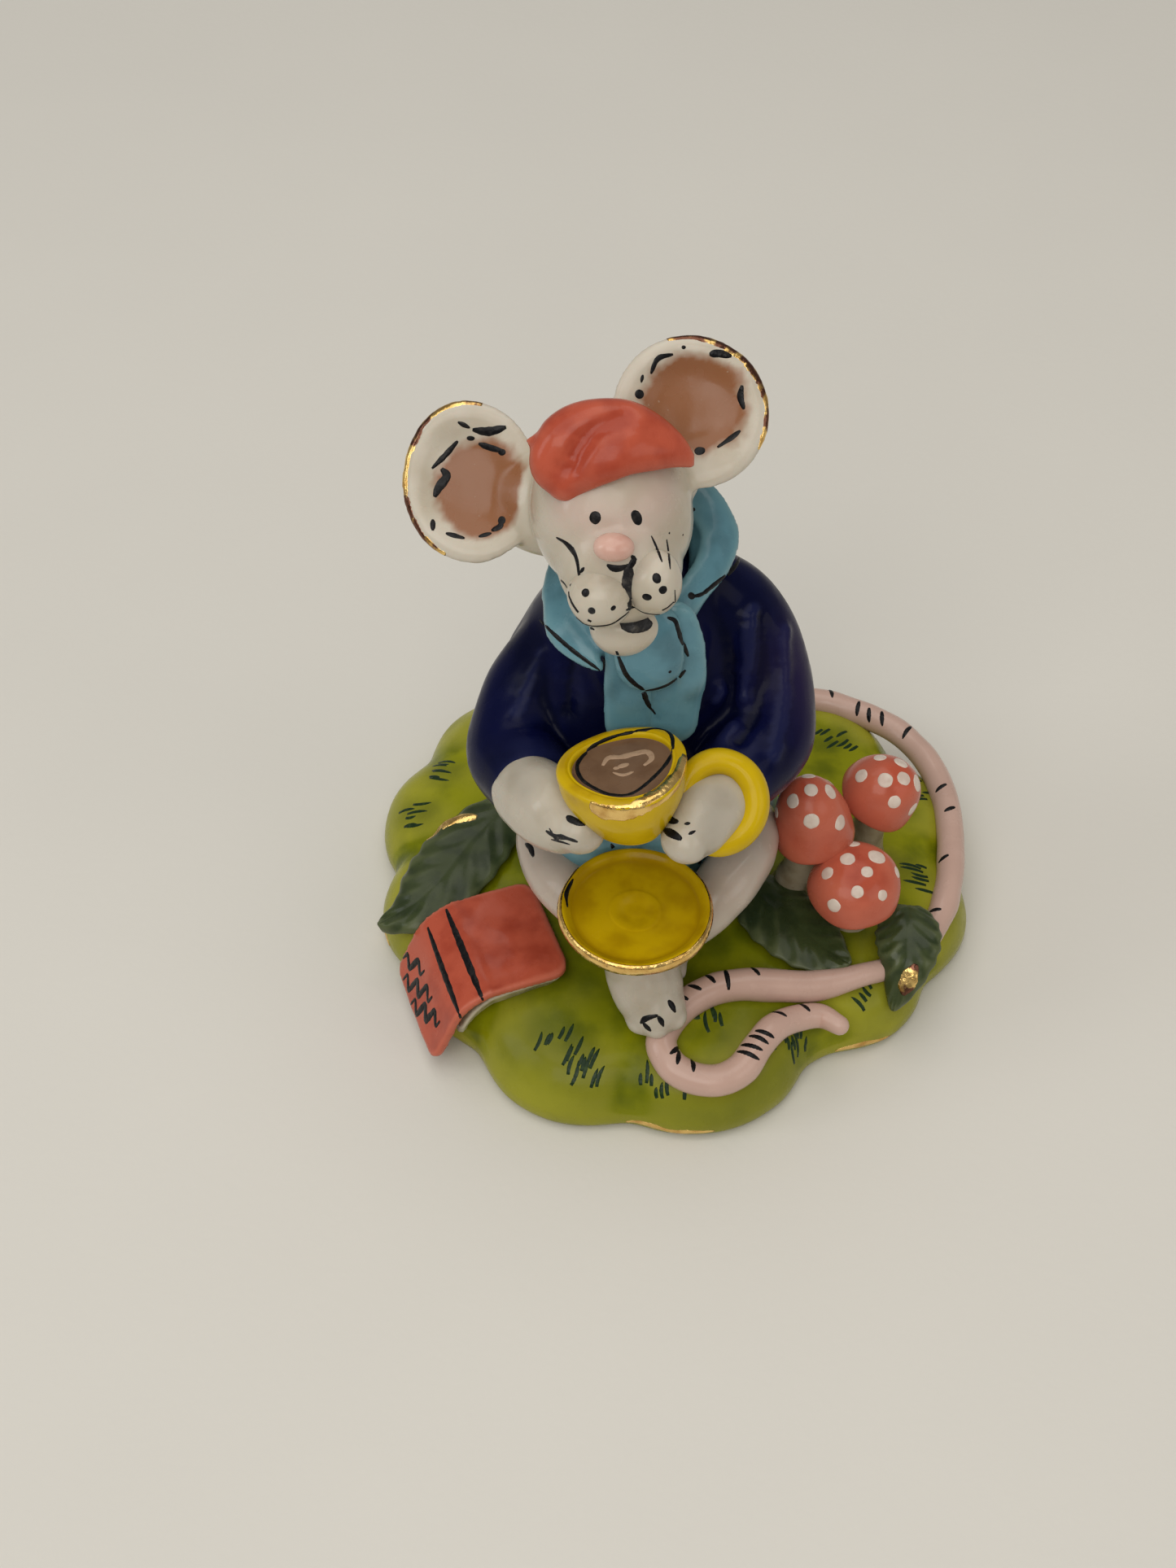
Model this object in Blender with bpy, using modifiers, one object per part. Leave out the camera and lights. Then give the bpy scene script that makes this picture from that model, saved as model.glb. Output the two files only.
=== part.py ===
"""A seated mouse figurine in glazed porcelain: jacket, scarf, flat cap and teacup, on a grass mound.

Lengths are in millimetres here and are turned into metres as the meshes are made. The origin is at the
middle of the mound's foot, +Z is up, and the mouse faces -Y. Right and left are the mouse's own sides,
so its right is at -X. Every piece is its own solid, and a piece that touches another is cut back from it
by GAP, as if the glaze line between them were open.
"""
import math

import bmesh
import bpy
from mathutils import Euler, Matrix, Vector

MM = 0.001
GAP = 0.3
OBJECT_NAME = "mouse_figurine"

# The mound: lobes given as (direction in degrees, reach from the middle, radius of the lobe).
MOUND_HEIGHT = 11.5
MOUND_CROWN_DROP = 1.0
MOUND_FLATNESS = 8
MOUND_CORE = 33.0
MOUND_LOBES = (
    (-118, 40.8, 15), (-86, 39.4, 15), (-33, 37.3, 12), (-6, 40.6, 14), (22, 42.7, 14), (50, 42.6, 14),
    (78, 40.0, 14), (105, 40.6, 14), (133, 45.6, 14), (157, 43.8, 13), (-173, 40.9, 12), (-147, 38.8, 12),
)
FOOT_RING_OUTER = 0.94
FOOT_RING_INNER = 0.76
HOLLOW_CEILING = 5.5

# The body.
TORSO_X = -5.3
TORSO_Y = 1.5
TORSO_DEPTH = 0.8
SHORTS_CENTRE = (-4.5, 0.5, 21.0)
SHORTS_RADII = (20.5, 15.5, 14.0)
JACKET_RADII = ((27.0, 15.5), (29.5, 18.6), (34.0, 19.8), (40.0, 19.4), (46.0, 18.0), (52.0, 15.6),
                (57.5, 12.6), (62.0, 10.0), (65.0, 8.0))
LEG_RADIUS = 3.4
SLEEVE_RADIUS = 6.3

# The head, which leans and rolls to the mouse's right.
HEAD_CENTRE = (-9.4, -5.5, 75.2)
HEAD_RADII = (10.3, 10.2, 11.6)
HEAD_ROLL = -14.0

# The tea things.
CUP_RIM_RADIUS = 7.5
CUP_FOOT_RADIUS = 4.4
CUP_HEIGHT = 8.8
CUP_WALL = 1.2
COFFEE_DEPTH = 1.1
CUP_BASE = (-7.1, -24.5, 44.9)
CUP_TILT = (-8.0, -6.0, 0.0)
HANDLE_CENTRE = (3.4, -22.6, 46.2)
HANDLE_TILT = (43.0, 6.0, 0.0)
HANDLE_RADIUS = 4.8
HANDLE_THICKNESS = 1.6
SAUCER_RADIUS = 9.4
SAUCER_CENTRE = (-6.3, -26.3, 29.9)
SAUCER_TILT = (4.5, 1.0, 0.0)

# The open book, face down over the edge of the mound.
BOOK_MIDDLE = (-28.0, -18.4)
BOOK_TURN = 19.6
BOOK_LENGTH = 16.5
BOOK_PANEL = 11.8
BOOK_SPINE = 3.2
BOOK_TOP = 13.6
COVER_THICKNESS = 1.2

TAIL_RADIUS = 1.9
TAIL_LIFT = 0.9
TAIL_LOWEST = 8.6
LEAF_THICKNESS = 1.0
LEAF_STALK = 0.12  # how wide a leaf starts, as a share of its widest place
LEAF_DROOP = 0.12  # how far its edges droop, as a share of its half width

PAINTS = {
    "grass": ((0.30, 0.42, 0.03), 0.22),
    "white_glaze": ((0.80, 0.75, 0.66), 0.16),
    "pink_glaze": ((0.72, 0.38, 0.34), 0.2),
    "navy_glaze": ((0.012, 0.014, 0.11), 0.12),
    "teal_glaze": ((0.06, 0.30, 0.38), 0.16),
    "coral_glaze": ((0.68, 0.075, 0.045), 0.18),
    "yellow_glaze": ((0.74, 0.50, 0.01), 0.16),
    "coffee_glaze": ((0.22, 0.12, 0.075), 0.14),
    "leaf_glaze": ((0.02, 0.06, 0.025), 0.2),
    "stem_glaze": ((0.55, 0.47, 0.34), 0.25),
}

parts = bpy.data.collections.new(OBJECT_NAME)
cutters = bpy.data.collections.new("cutters")


def clear_scene():
    for old in list(bpy.data.objects):
        bpy.data.objects.remove(old, do_unlink=True)
    bpy.context.scene.collection.children.link(parts)
    bpy.context.scene.collection.children.link(cutters)


def paint(name):
    """The glaze of that name, made once."""
    if name in bpy.data.materials:
        return bpy.data.materials[name]
    colour, roughness = PAINTS[name]
    material = bpy.data.materials.new(name)
    material.use_nodes = True
    shader = material.node_tree.nodes["Principled BSDF"]
    shader.inputs["Base Color"].default_value = (*colour, 1.0)
    shader.inputs["Roughness"].default_value = roughness
    shader.inputs["Metallic"].default_value = 0.0
    return material


def add_piece(name, mesh, glaze, place=(0, 0, 0), tilt=(0, 0, 0)):
    """A named part whose mesh is already in metres, put at place with its tilt in degrees."""
    piece = bpy.data.objects.new(name, mesh)
    parts.objects.link(piece)
    mesh.materials.append(paint(glaze))
    mesh.shade_smooth()
    piece.location = Vector(place) * MM
    piece.rotation_euler = Euler([math.radians(angle) for angle in tilt])
    return piece


def mesh_from(bm, name):
    mesh = bpy.data.meshes.new(name)
    bm.to_mesh(mesh)
    bm.free()
    return mesh


def ball(name, glaze, place, radii, tilt=(0, 0, 0), segments=18, rings=10):
    """An ellipsoid."""
    bm = bmesh.new()
    bmesh.ops.create_uvsphere(bm, u_segments=segments, v_segments=rings, radius=MM)
    bmesh.ops.scale(bm, vec=radii, verts=bm.verts)
    return add_piece(name, mesh_from(bm, name), glaze, place, tilt)


def ringed(name, glaze, stations, shape, segments, place=(0, 0, 0), tilt=(0, 0, 0)):
    """A sphere whose rings, top to bottom, are moved to stations: shape(station, angle) gives a point."""
    bm = bmesh.new()
    stacks = len(stations) - 1
    bmesh.ops.create_uvsphere(bm, u_segments=segments, v_segments=stacks, radius=1.0)
    for vert in bm.verts:
        ring = round(math.acos(max(-1.0, min(1.0, vert.co.z))) / math.pi * stacks)
        angle = math.atan2(vert.co.y, vert.co.x)
        vert.co = Vector(shape(stations[ring], angle)) * MM
    return add_piece(name, mesh_from(bm, name), glaze, place, tilt)


def turned(name, glaze, profile, steps=32, place=(0, 0, 0), tilt=(0, 0, 0)):
    """A turned solid about Z. The profile is (radius, height), down the outer side from the top."""
    bm = bmesh.new()
    corners = [bm.verts.new((radius * MM, 0, height * MM)) for radius, height in profile]
    for first, second in zip(corners, corners[1:]):
        bm.edges.new((first, second))
    piece = add_piece(name, mesh_from(bm, name), glaze, place, tilt)
    screw = piece.modifiers.new("turn", "SCREW")
    screw.steps = steps
    screw.render_steps = steps
    screw.use_merge_vertices = True
    screw.merge_threshold = 0.00001
    screw.use_smooth_shade = True
    return piece


def smooth_path(route, pieces, closed=False):
    """Points on a Catmull-Rom curve through the route, pieces of them to each stretch."""
    knots = [Vector(knot) for knot in route]
    if closed:
        padded = [knots[-1], *knots, knots[0], knots[1]]
    else:
        padded = [2 * knots[0] - knots[1], *knots, 2 * knots[-1] - knots[-2]]
    path = []
    for a, b, c, d in zip(padded, padded[1:], padded[2:], padded[3:]):
        for step in range(pieces):
            t = step / pieces
            path.append(0.5 * (2 * b + (c - a) * t + (2 * a - 5 * b + 4 * c - d) * t**2
                               + (3 * b - 3 * c + d - a) * t**3))
    if not closed:
        path.append(knots[-1])
    return path


def as_mesh(piece):
    """Turns a curve into a mesh part of the same name, with its caps welded."""
    graph = bpy.context.evaluated_depsgraph_get()
    mesh = bpy.data.meshes.new_from_object(piece.evaluated_get(graph))
    bm = bmesh.new()
    bm.from_mesh(mesh)
    bmesh.ops.remove_doubles(bm, verts=bm.verts, dist=0.00001)
    bmesh.ops.recalc_face_normals(bm, faces=bm.faces)
    bm.to_mesh(mesh)
    bm.free()
    name = piece.name
    place = piece.matrix_world.copy()
    glaze = piece.data.materials[0]
    bpy.data.objects.remove(piece, do_unlink=True)
    solid = bpy.data.objects.new(name, mesh)
    parts.objects.link(solid)
    solid.matrix_world = place
    mesh.materials.clear()
    mesh.materials.append(glaze)
    mesh.shade_smooth()
    return solid


def tube(name, glaze, route, pieces=4, closed=False, resolution=2):
    """A round rod along the route, whose points are (x, y, z, radius)."""
    curve = bpy.data.curves.new(name, "CURVE")
    curve.dimensions = "3D"
    curve.bevel_depth = MM
    curve.bevel_resolution = resolution
    curve.use_fill_caps = not closed
    curve.materials.append(paint(glaze))
    path = smooth_path(route, pieces, closed)
    spline = curve.splines.new("POLY")
    spline.points.add(len(path) - 1)
    for point, stop in zip(spline.points, path):
        point.co = (stop[0] * MM, stop[1] * MM, stop[2] * MM, 1.0)
        point.radius = stop[3]
    spline.use_cyclic_u = closed
    piece = bpy.data.objects.new(name, curve)
    parts.objects.link(piece)
    bpy.context.view_layer.update()
    return as_mesh(piece)


def carve(piece, *neighbours):
    """Cuts the piece back from its neighbours, leaving GAP between them."""
    graph = bpy.context.evaluated_depsgraph_get()
    for neighbour in neighbours:
        mesh = bpy.data.meshes.new_from_object(neighbour.evaluated_get(graph))
        bm = bmesh.new()
        bm.from_mesh(mesh)
        bm.normal_update()
        offsets = [vert.normal.copy() for vert in bm.verts]
        for vert, offset in zip(bm.verts, offsets):
            vert.co += offset * GAP * MM
        bm.to_mesh(mesh)
        bm.free()
        cutter = bpy.data.objects.new("cut_" + piece.name + "_" + neighbour.name, mesh)
        cutters.objects.link(cutter)
        cutter.matrix_world = neighbour.matrix_world.copy()
        cutter.hide_render = True
        cutter.display_type = "WIRE"
        cut = piece.modifiers.new("clear_" + neighbour.name, "BOOLEAN")
        cut.operation = "DIFFERENCE"
        cut.solver = "EXACT"
        cut.object = cutter


def mound_reach(angle):
    """How far the mound's outline lies from the middle in a direction: the outermost lobe there."""
    blend = 40
    total = MOUND_CORE**blend
    for direction, reach, radius in MOUND_LOBES:
        turn = angle - math.radians(direction)
        middle = reach - radius
        inside = radius**2 - (middle * math.sin(turn))**2
        if inside > 0 and math.cos(turn) > 0:
            total += (middle * math.cos(turn) + math.sqrt(inside))**blend
    return total**(1 / blend)


def mound_height(fraction):
    """The height of the mound's upper surface at a fraction of the way out to its outline."""
    return (MOUND_HEIGHT - MOUND_CROWN_DROP * fraction**2) * max(0.0, 1 - fraction**MOUND_FLATNESS)**0.4


def mound_top(x, y):
    return mound_height(min(1.0, math.hypot(x, y) / mound_reach(math.atan2(y, x))))


def make_mound():
    outer = [0.0, 0.17, 0.34, 0.5, 0.64, 0.76, 0.85, 0.92, 0.965, 0.99]
    stations = [(fraction, mound_height(fraction)) for fraction in outer]
    stations += [(1.0, 1.6), (0.985, 0.5), (FOOT_RING_OUTER, 0.0), (FOOT_RING_INNER, 0.0)]
    stations += [(FOOT_RING_INNER - 0.04, HOLLOW_CEILING - 1.0), (0.62, HOLLOW_CEILING)]
    stations += [(0.35, HOLLOW_CEILING), (0.0, HOLLOW_CEILING)]

    def shape(station, angle):
        distance = station[0] * mound_reach(angle)
        return distance * math.cos(angle), distance * math.sin(angle), station[1]

    return ringed("mound_base", "grass", stations, shape, segments=64)


def make_torso():
    shorts = ball("shorts", "teal_glaze", SHORTS_CENTRE, SHORTS_RADII, segments=24, rings=14)
    hem = JACKET_RADII[0][0]
    neck = JACKET_RADII[-1][0] + 1.0
    stations = [(neck, 0.0), *reversed(JACKET_RADII), (hem, 0.0)]

    def shape(station, angle):
        height, radius = station
        return (TORSO_X + radius * math.cos(angle), TORSO_Y + TORSO_DEPTH * radius * math.sin(angle), height)

    jacket = ringed("jacket_body", "navy_glaze", stations, shape, segments=26)
    return shorts, jacket


def make_limbs():
    r = LEG_RADIUS
    leg_right = tube("leg_right", "white_glaze", (
        (-15.5, -4.0, 23.0, r), (-17.2, -9.5, 25.0, r), (-15.4, -16.0, 26.4, r),
        (-11.5, -21.5, 26.2, r - 0.1), (-7.6, -24.6, 22.6, r - 0.2), (-5.8, -25.2, 18.0, r + 0.2)))
    leg_left = tube("leg_left", "white_glaze", (
        (8.6, -3.5, 23.0, r), (8.8, -9.0, 24.6, r + 0.3), (6.8, -14.8, 24.8, r + 0.3),
        (3.6, -18.6, 23.6, r), (1.0, -19.6, 20.6, r - 0.3), (0.2, -18.8, 17.0, r - 0.4)))
    foot_right = tube("foot_right", "white_glaze", (
        (-5.8, -24.4, 18.0, 4.3), (-5.2, -26.2, 16.2, 4.4), (-4.2, -28.8, 14.4, 3.7),
        (-3.3, -30.8, 13.2, 3.0), (-3.0, -31.6, 12.8, 1.9)), pieces=3, resolution=3)
    foot_left = tube("foot_left", "white_glaze", (
        (0.2, -18.6, 16.6, 3.3), (0.6, -19.8, 15.4, 3.2), (1.0, -20.8, 14.6, 2.8), (1.2, -21.6, 14.0, 1.7)),
        pieces=3, resolution=3)
    s = SLEEVE_RADIUS
    sleeve_right = tube("sleeve_right", "navy_glaze", (
        (-11.6, 1.0, 56.4, s - 1.5), (-15.8, 0.2, 51.2, s - 0.3), (-19.8, -3.0, 44.5, s + 0.2),
        (-21.6, -9.0, 40.6, s + 0.2), (-19.6, -14.6, 41.2, s - 0.6)), resolution=3)
    sleeve_left = tube("sleeve_left", "navy_glaze", (
        (2.0, 1.2, 59.0, s - 1.2), (6.4, 0.4, 54.4, s + 0.1), (9.2, -2.8, 47.4, s + 0.5),
        (9.6, -8.6, 43.0, s + 0.2), (6.4, -13.8, 42.6, s - 0.6)), resolution=3)
    paw_right = tube("paw_right", "white_glaze", (
        (-19.6, -14.0, 41.4, 4.0), (-19.0, -17.0, 42.2, 4.7), (-17.2, -20.8, 43.6, 4.9),
        (-15.0, -24.0, 44.8, 4.0), (-13.8, -25.6, 45.3, 2.4)), pieces=3, resolution=3)
    paw_left = tube("paw_left", "white_glaze", (
        (6.2, -13.6, 42.8, 3.9), (5.0, -17.6, 43.8, 4.0), (3.2, -21.6, 45.2, 4.1), (1.0, -25.2, 46.4, 3.6),
        (0.0, -26.8, 46.8, 2.2)), pieces=3, resolution=3)
    return (leg_right, leg_left, foot_right, foot_left,
            sleeve_right, sleeve_left, paw_right, paw_left)


def join(piece, other):
    """Makes other a part of the piece, as one body."""
    parts.objects.unlink(other)
    cutters.objects.link(other)
    other.hide_render = True
    other.display_type = "WIRE"
    union = piece.modifiers.new("join_" + other.name, "BOOLEAN")
    union.operation = "UNION"
    union.solver = "EXACT"
    union.object = other


def make_head():
    head = ball("head", "white_glaze", HEAD_CENTRE, HEAD_RADII, (0, HEAD_ROLL, 0), segments=26, rings=14)
    muzzle = ball("muzzle", "white_glaze", (-8.4, -12.0, 75.6), (7.0, 6.2, 7.8), (20, HEAD_ROLL, 0))
    pad_right = ball("whisker_pad_right", "white_glaze", (-11.0, -15.9, 73.2), (3.7, 3.8, 3.8))
    pad_left = ball("whisker_pad_left", "white_glaze", (-4.6, -15.5, 74.8), (3.2, 3.6, 4.0))
    chin = ball("chin", "white_glaze", (-7.5, -13.2, 66.4), (4.1, 3.7, 3.4), (0, HEAD_ROLL, 0))
    nose = ball("nose", "pink_glaze", (-9.1, -17.8, 81.0), (2.6, 2.2, 2.0))
    return head, muzzle, pad_right, pad_left, chin, nose


def make_ear(name, place, radii, tilt):
    """A shallow dish with a rounded lip, opening along its own +Z."""
    stations = ((0.0, -1.0), (0.35, -0.9), (0.62, -0.3), (0.82, 0.5), (0.93, 0.9), (1.0, 0.3), (0.97, -0.7),
                (0.8, -1.9), (0.5, -3.0), (0.25, -3.4), (0.0, -3.5))

    def shape(station, angle):
        fraction, height = station
        return radii[0] * fraction * math.cos(angle), radii[1] * fraction * math.sin(angle), height

    return ringed(name, "white_glaze", stations, shape, 26, place, tilt)


def make_cap():
    crown = ball("cap_crown", "coral_glaze", (-8.9, -6.6, 86.2), (9.6, 6.2, 3.6), (14, 12, 0))
    peak = tube("cap_peak", "coral_glaze", (
        (-15.6, -11.2, 84.6, 1.3), (-13.8, -12.4, 86.0, 2.5), (-10.2, -12.8, 87.8, 2.7),
        (-6.2, -11.8, 88.6, 2.5), (-2.4, -9.8, 87.8, 2.0), (0.6, -7.4, 86.2, 0.9)), pieces=3)
    return crown, peak


def make_scarf():
    wrap = tube("scarf_wrap", "teal_glaze", (
        (-6.0, 6.2, 68.2, 3.4), (2.6, 1.6, 69.2, 3.9), (3.4, -5.6, 66.2, 3.5), (-2.6, -11.2, 63.0, 3.0),
        (-9.8, -11.4, 62.4, 2.9), (-15.2, -6.2, 63.2, 3.2), (-14.6, 2.4, 64.8, 3.2)), pieces=3, closed=True)
    knot = ball("scarf_knot", "teal_glaze", (-4.4, -14.6, 61.2), (4.3, 3.0, 4.4))
    return wrap, knot


def make_scarf_end(name, top, foot):
    """A flat strip that hangs from the knot and widens a little towards its foot."""
    half_width = 2.9
    half_thickness = 1.4
    stations = ((0.0, 0.0), (0.0, 0.8), (0.5, 1.0), (1.0, 1.15), (1.0, 0.0))

    def shape(station, angle):
        middle = Vector(top).lerp(Vector(foot), station[0])
        across = half_width * station[1] * math.cos(angle)
        outward = half_thickness * station[1] * math.sin(angle)
        return middle + Vector((across, outward, 0.0))

    return ringed(name, "teal_glaze", stations, shape, segments=16)


def make_tea_things():
    rim = CUP_RIM_RADIUS
    foot = CUP_FOOT_RADIUS
    wall = CUP_WALL
    cup = turned("cup", "yellow_glaze", (
        (0.0, 1.3), (foot - 1.2, 1.4), (rim - wall - 0.7, 4.2), (rim - wall, CUP_HEIGHT - 0.4),
        (rim - wall / 2, CUP_HEIGHT), (rim, CUP_HEIGHT - 0.5), (rim - 0.5, 4.6), (foot + 0.9, 1.2),
        (foot, 0.0), (0.0, 0.0)), place=CUP_BASE, tilt=CUP_TILT)
    coffee = turned("coffee", "coffee_glaze", (
        (0.0, CUP_HEIGHT - COFFEE_DEPTH), (rim - wall - GAP, CUP_HEIGHT - COFFEE_DEPTH),
        (rim - wall - 0.7 - GAP, 4.4), (foot - 1.3, 1.4 + GAP), (0.0, 1.3 + GAP)),
        place=CUP_BASE, tilt=CUP_TILT)
    bpy.ops.mesh.primitive_torus_add(major_radius=HANDLE_RADIUS * MM, minor_radius=HANDLE_THICKNESS * MM,
                                     major_segments=28, minor_segments=8)
    ring = bpy.context.active_object
    mesh = ring.data
    bpy.data.objects.remove(ring, do_unlink=True)
    handle = add_piece("cup_handle", mesh, "yellow_glaze", HANDLE_CENTRE, HANDLE_TILT)
    edge = SAUCER_RADIUS
    saucer = turned("saucer", "yellow_glaze", (
        (0.0, 1.3), (1.6, 1.3), (2.6, 1.7), (3.6, 1.2), (edge - 1.6, 1.5), (edge - 0.4, 2.2), (edge, 1.9),
        (edge - 0.7, 0.8), (edge - 4.0, 0.0), (0.0, 0.0)), steps=32, place=SAUCER_CENTRE, tilt=SAUCER_TILT)
    return cup, coffee, handle, saucer


def extruded(name, glaze, outline, length, place, turn):
    """A flat outline in (across, up), drawn out along the direction that turn gives."""
    curve = bpy.data.curves.new(name, "CURVE")
    curve.dimensions = "2D"
    curve.fill_mode = "BOTH"
    curve.extrude = length / 2 * MM
    curve.materials.append(paint(glaze))
    spline = curve.splines.new("POLY")
    spline.points.add(len(outline) - 1)
    for point, (across, up) in zip(spline.points, outline):
        point.co = (across * MM, up * MM, 0.0, 1.0)
    spline.use_cyclic_u = True
    piece = bpy.data.objects.new(name, curve)
    parts.objects.link(piece)
    upright = Matrix.Rotation(math.radians(90), 4, "X")
    heading = Matrix.Rotation(math.radians(turn), 4, "Z")
    piece.matrix_world = Matrix.Translation(Vector((*place, 0.0)) * MM) @ heading @ upright
    bpy.context.view_layer.update()
    return as_mesh(piece)


def make_book():
    top = BOOK_TOP
    right = BOOK_PANEL
    thick = COVER_THICKNESS
    spine = -BOOK_SPINE
    hang_x = spine - 4.6
    hang_z = 1.6
    cover = extruded("book_cover", "coral_glaze", (
        (right, top + 0.2), (2.0, top), (0.2, top - 0.2), (spine, top - 2.4), (hang_x, hang_z),
        (hang_x + 1.3, hang_z), (spine + 1.3, top - 3.5), (0.6, top - thick - 0.2), (2.0, top - thick),
        (right, top + 0.2 - thick)), BOOK_LENGTH, BOOK_MIDDLE, BOOK_TURN)
    under = top - thick - GAP
    pages = extruded("book_pages", "white_glaze", (
        (right - 0.8, under + 0.2), (2.0, under), (0.6, under - 0.2), (spine + 1.6, under - 2.3),
        (hang_x + 2.4, hang_z + 3.6), (hang_x + 3.6, hang_z + 3.0), (right - 0.8, under - 3.0)),
        BOOK_LENGTH - 1.6, BOOK_MIDDLE, BOOK_TURN)
    return cover, pages


def leaf_outline(t):
    """How wide a leaf is at t of its length, as a share of its widest place."""
    swell = math.sin(math.pi * (LEAF_STALK + (1 - LEAF_STALK) * t)**0.9)
    return LEAF_STALK + (1 - LEAF_STALK) * max(0.0, swell)**0.8


def make_leaf(name, spine, half_width):
    """A pointed leaf along its spine, an open cage that is thickened and smoothed."""
    along = 10
    across = 4
    path = smooth_path(spine, 6)
    bm = bmesh.new()
    bmesh.ops.create_grid(bm, x_segments=along, y_segments=across, size=1.0)
    for vert in bm.verts:
        t = (vert.co.x + 1) / 2
        side = vert.co.y
        spot = t * (len(path) - 1)
        first = min(int(spot), len(path) - 2)
        middle = path[first].lerp(path[first + 1], spot - first)
        heading = (path[first + 1] - path[first]).normalized()
        sideways = heading.cross(Vector((0, 0, 1))).normalized()
        width = half_width * leaf_outline(t)
        lift = -LEAF_DROOP * half_width * side * side
        vert.co = (middle + sideways * width * side + Vector((0, 0, lift))) * MM
    piece = add_piece(name, mesh_from(bm, name), "leaf_glaze")
    shell = piece.modifiers.new("thickness", "SOLIDIFY")
    shell.thickness = LEAF_THICKNESS * MM
    shell.offset = 0.0
    return piece


def make_leaves():
    left = make_leaf("leaf_right", ((-23.5, 7.0, 12.8), (-27.6, 1.2, 12.6), (-31.4, -4.4, 12.0),
                                     (-35.6, -8.6, 10.0), (-40.2, -10.2, 8.0)), 4.8)
    front = make_leaf("leaf_front", ((10.0, -6.5, 12.6), (13.5, -12.0, 12.6), (18.0, -16.8, 12.2),
                                     (22.0, -19.8, 11.4)), 4.8)
    drape = make_leaf("leaf_left", ((33.4, -9.0, 12.2), (32.6, -13.8, 12.0), (31.2, -18.4, 8.8),
                                    (28.9, -22.4, 4.4)), 4.5)
    return left, front, drape


def make_toadstool(name, foot, neck, cap_radius, cap_height, tilt):
    base = Vector((*foot, mound_top(*foot) - 0.5))
    middle = base.lerp(Vector(neck), 0.5)
    stem = tube(name + "_stem", "stem_glaze", (
        (*base, 2.8), (*middle, 2.2), (*neck, 2.1)), pieces=3)
    cap = turned(name + "_cap", "coral_glaze", (
        (0.0, cap_height), (0.42 * cap_radius, 0.93 * cap_height), (0.76 * cap_radius, 0.68 * cap_height),
        (0.96 * cap_radius, 0.3 * cap_height), (cap_radius, 0.0), (0.93 * cap_radius, -0.7),
        (0.5 * cap_radius, -0.4), (0.0, -0.3)), steps=22, place=neck, tilt=tilt)
    return stem, cap


def make_tail():
    route = [
        (2.0, 17.0), (4.5, 22.0), (10.0, 27.5), (16.0, 30.4), (22.0, 31.0), (27.0, 29.8), (32.4, 26.2),
        (36.2, 21.0), (38.3, 14.0), (38.6, 5.6), (37.4, -2.8), (35.2, -9.8), (30.0, -15.6), (23.6, -19.4),
        (17.4, -21.8), (12.2, -22.8),
        (7.4, -23.2), (3.4, -24.4), (-0.2, -27.0), (-2.9, -31.0), (-2.0, -34.4), (1.0, -36.0), (4.4, -36.2),
        (7.4, -35.0), (9.4, -32.2), (11.8, -29.4), (14.8, -27.2), (17.8, -26.2), (20.2, -27.4),
    ]
    thinning = 10
    stops = []
    for index, (x, y) in enumerate(route):
        left = len(route) - index
        radius = TAIL_RADIUS * (0.62 + 0.38 * min(1.0, left / thinning))
        height = max(TAIL_LOWEST, mound_top(x, y) + TAIL_LIFT)
        stops.append((x, y, height, radius))
    stops[-1] = (*stops[-1][:3], 0.7)
    return tube("tail", "pink_glaze", stops, pieces=2)


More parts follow.
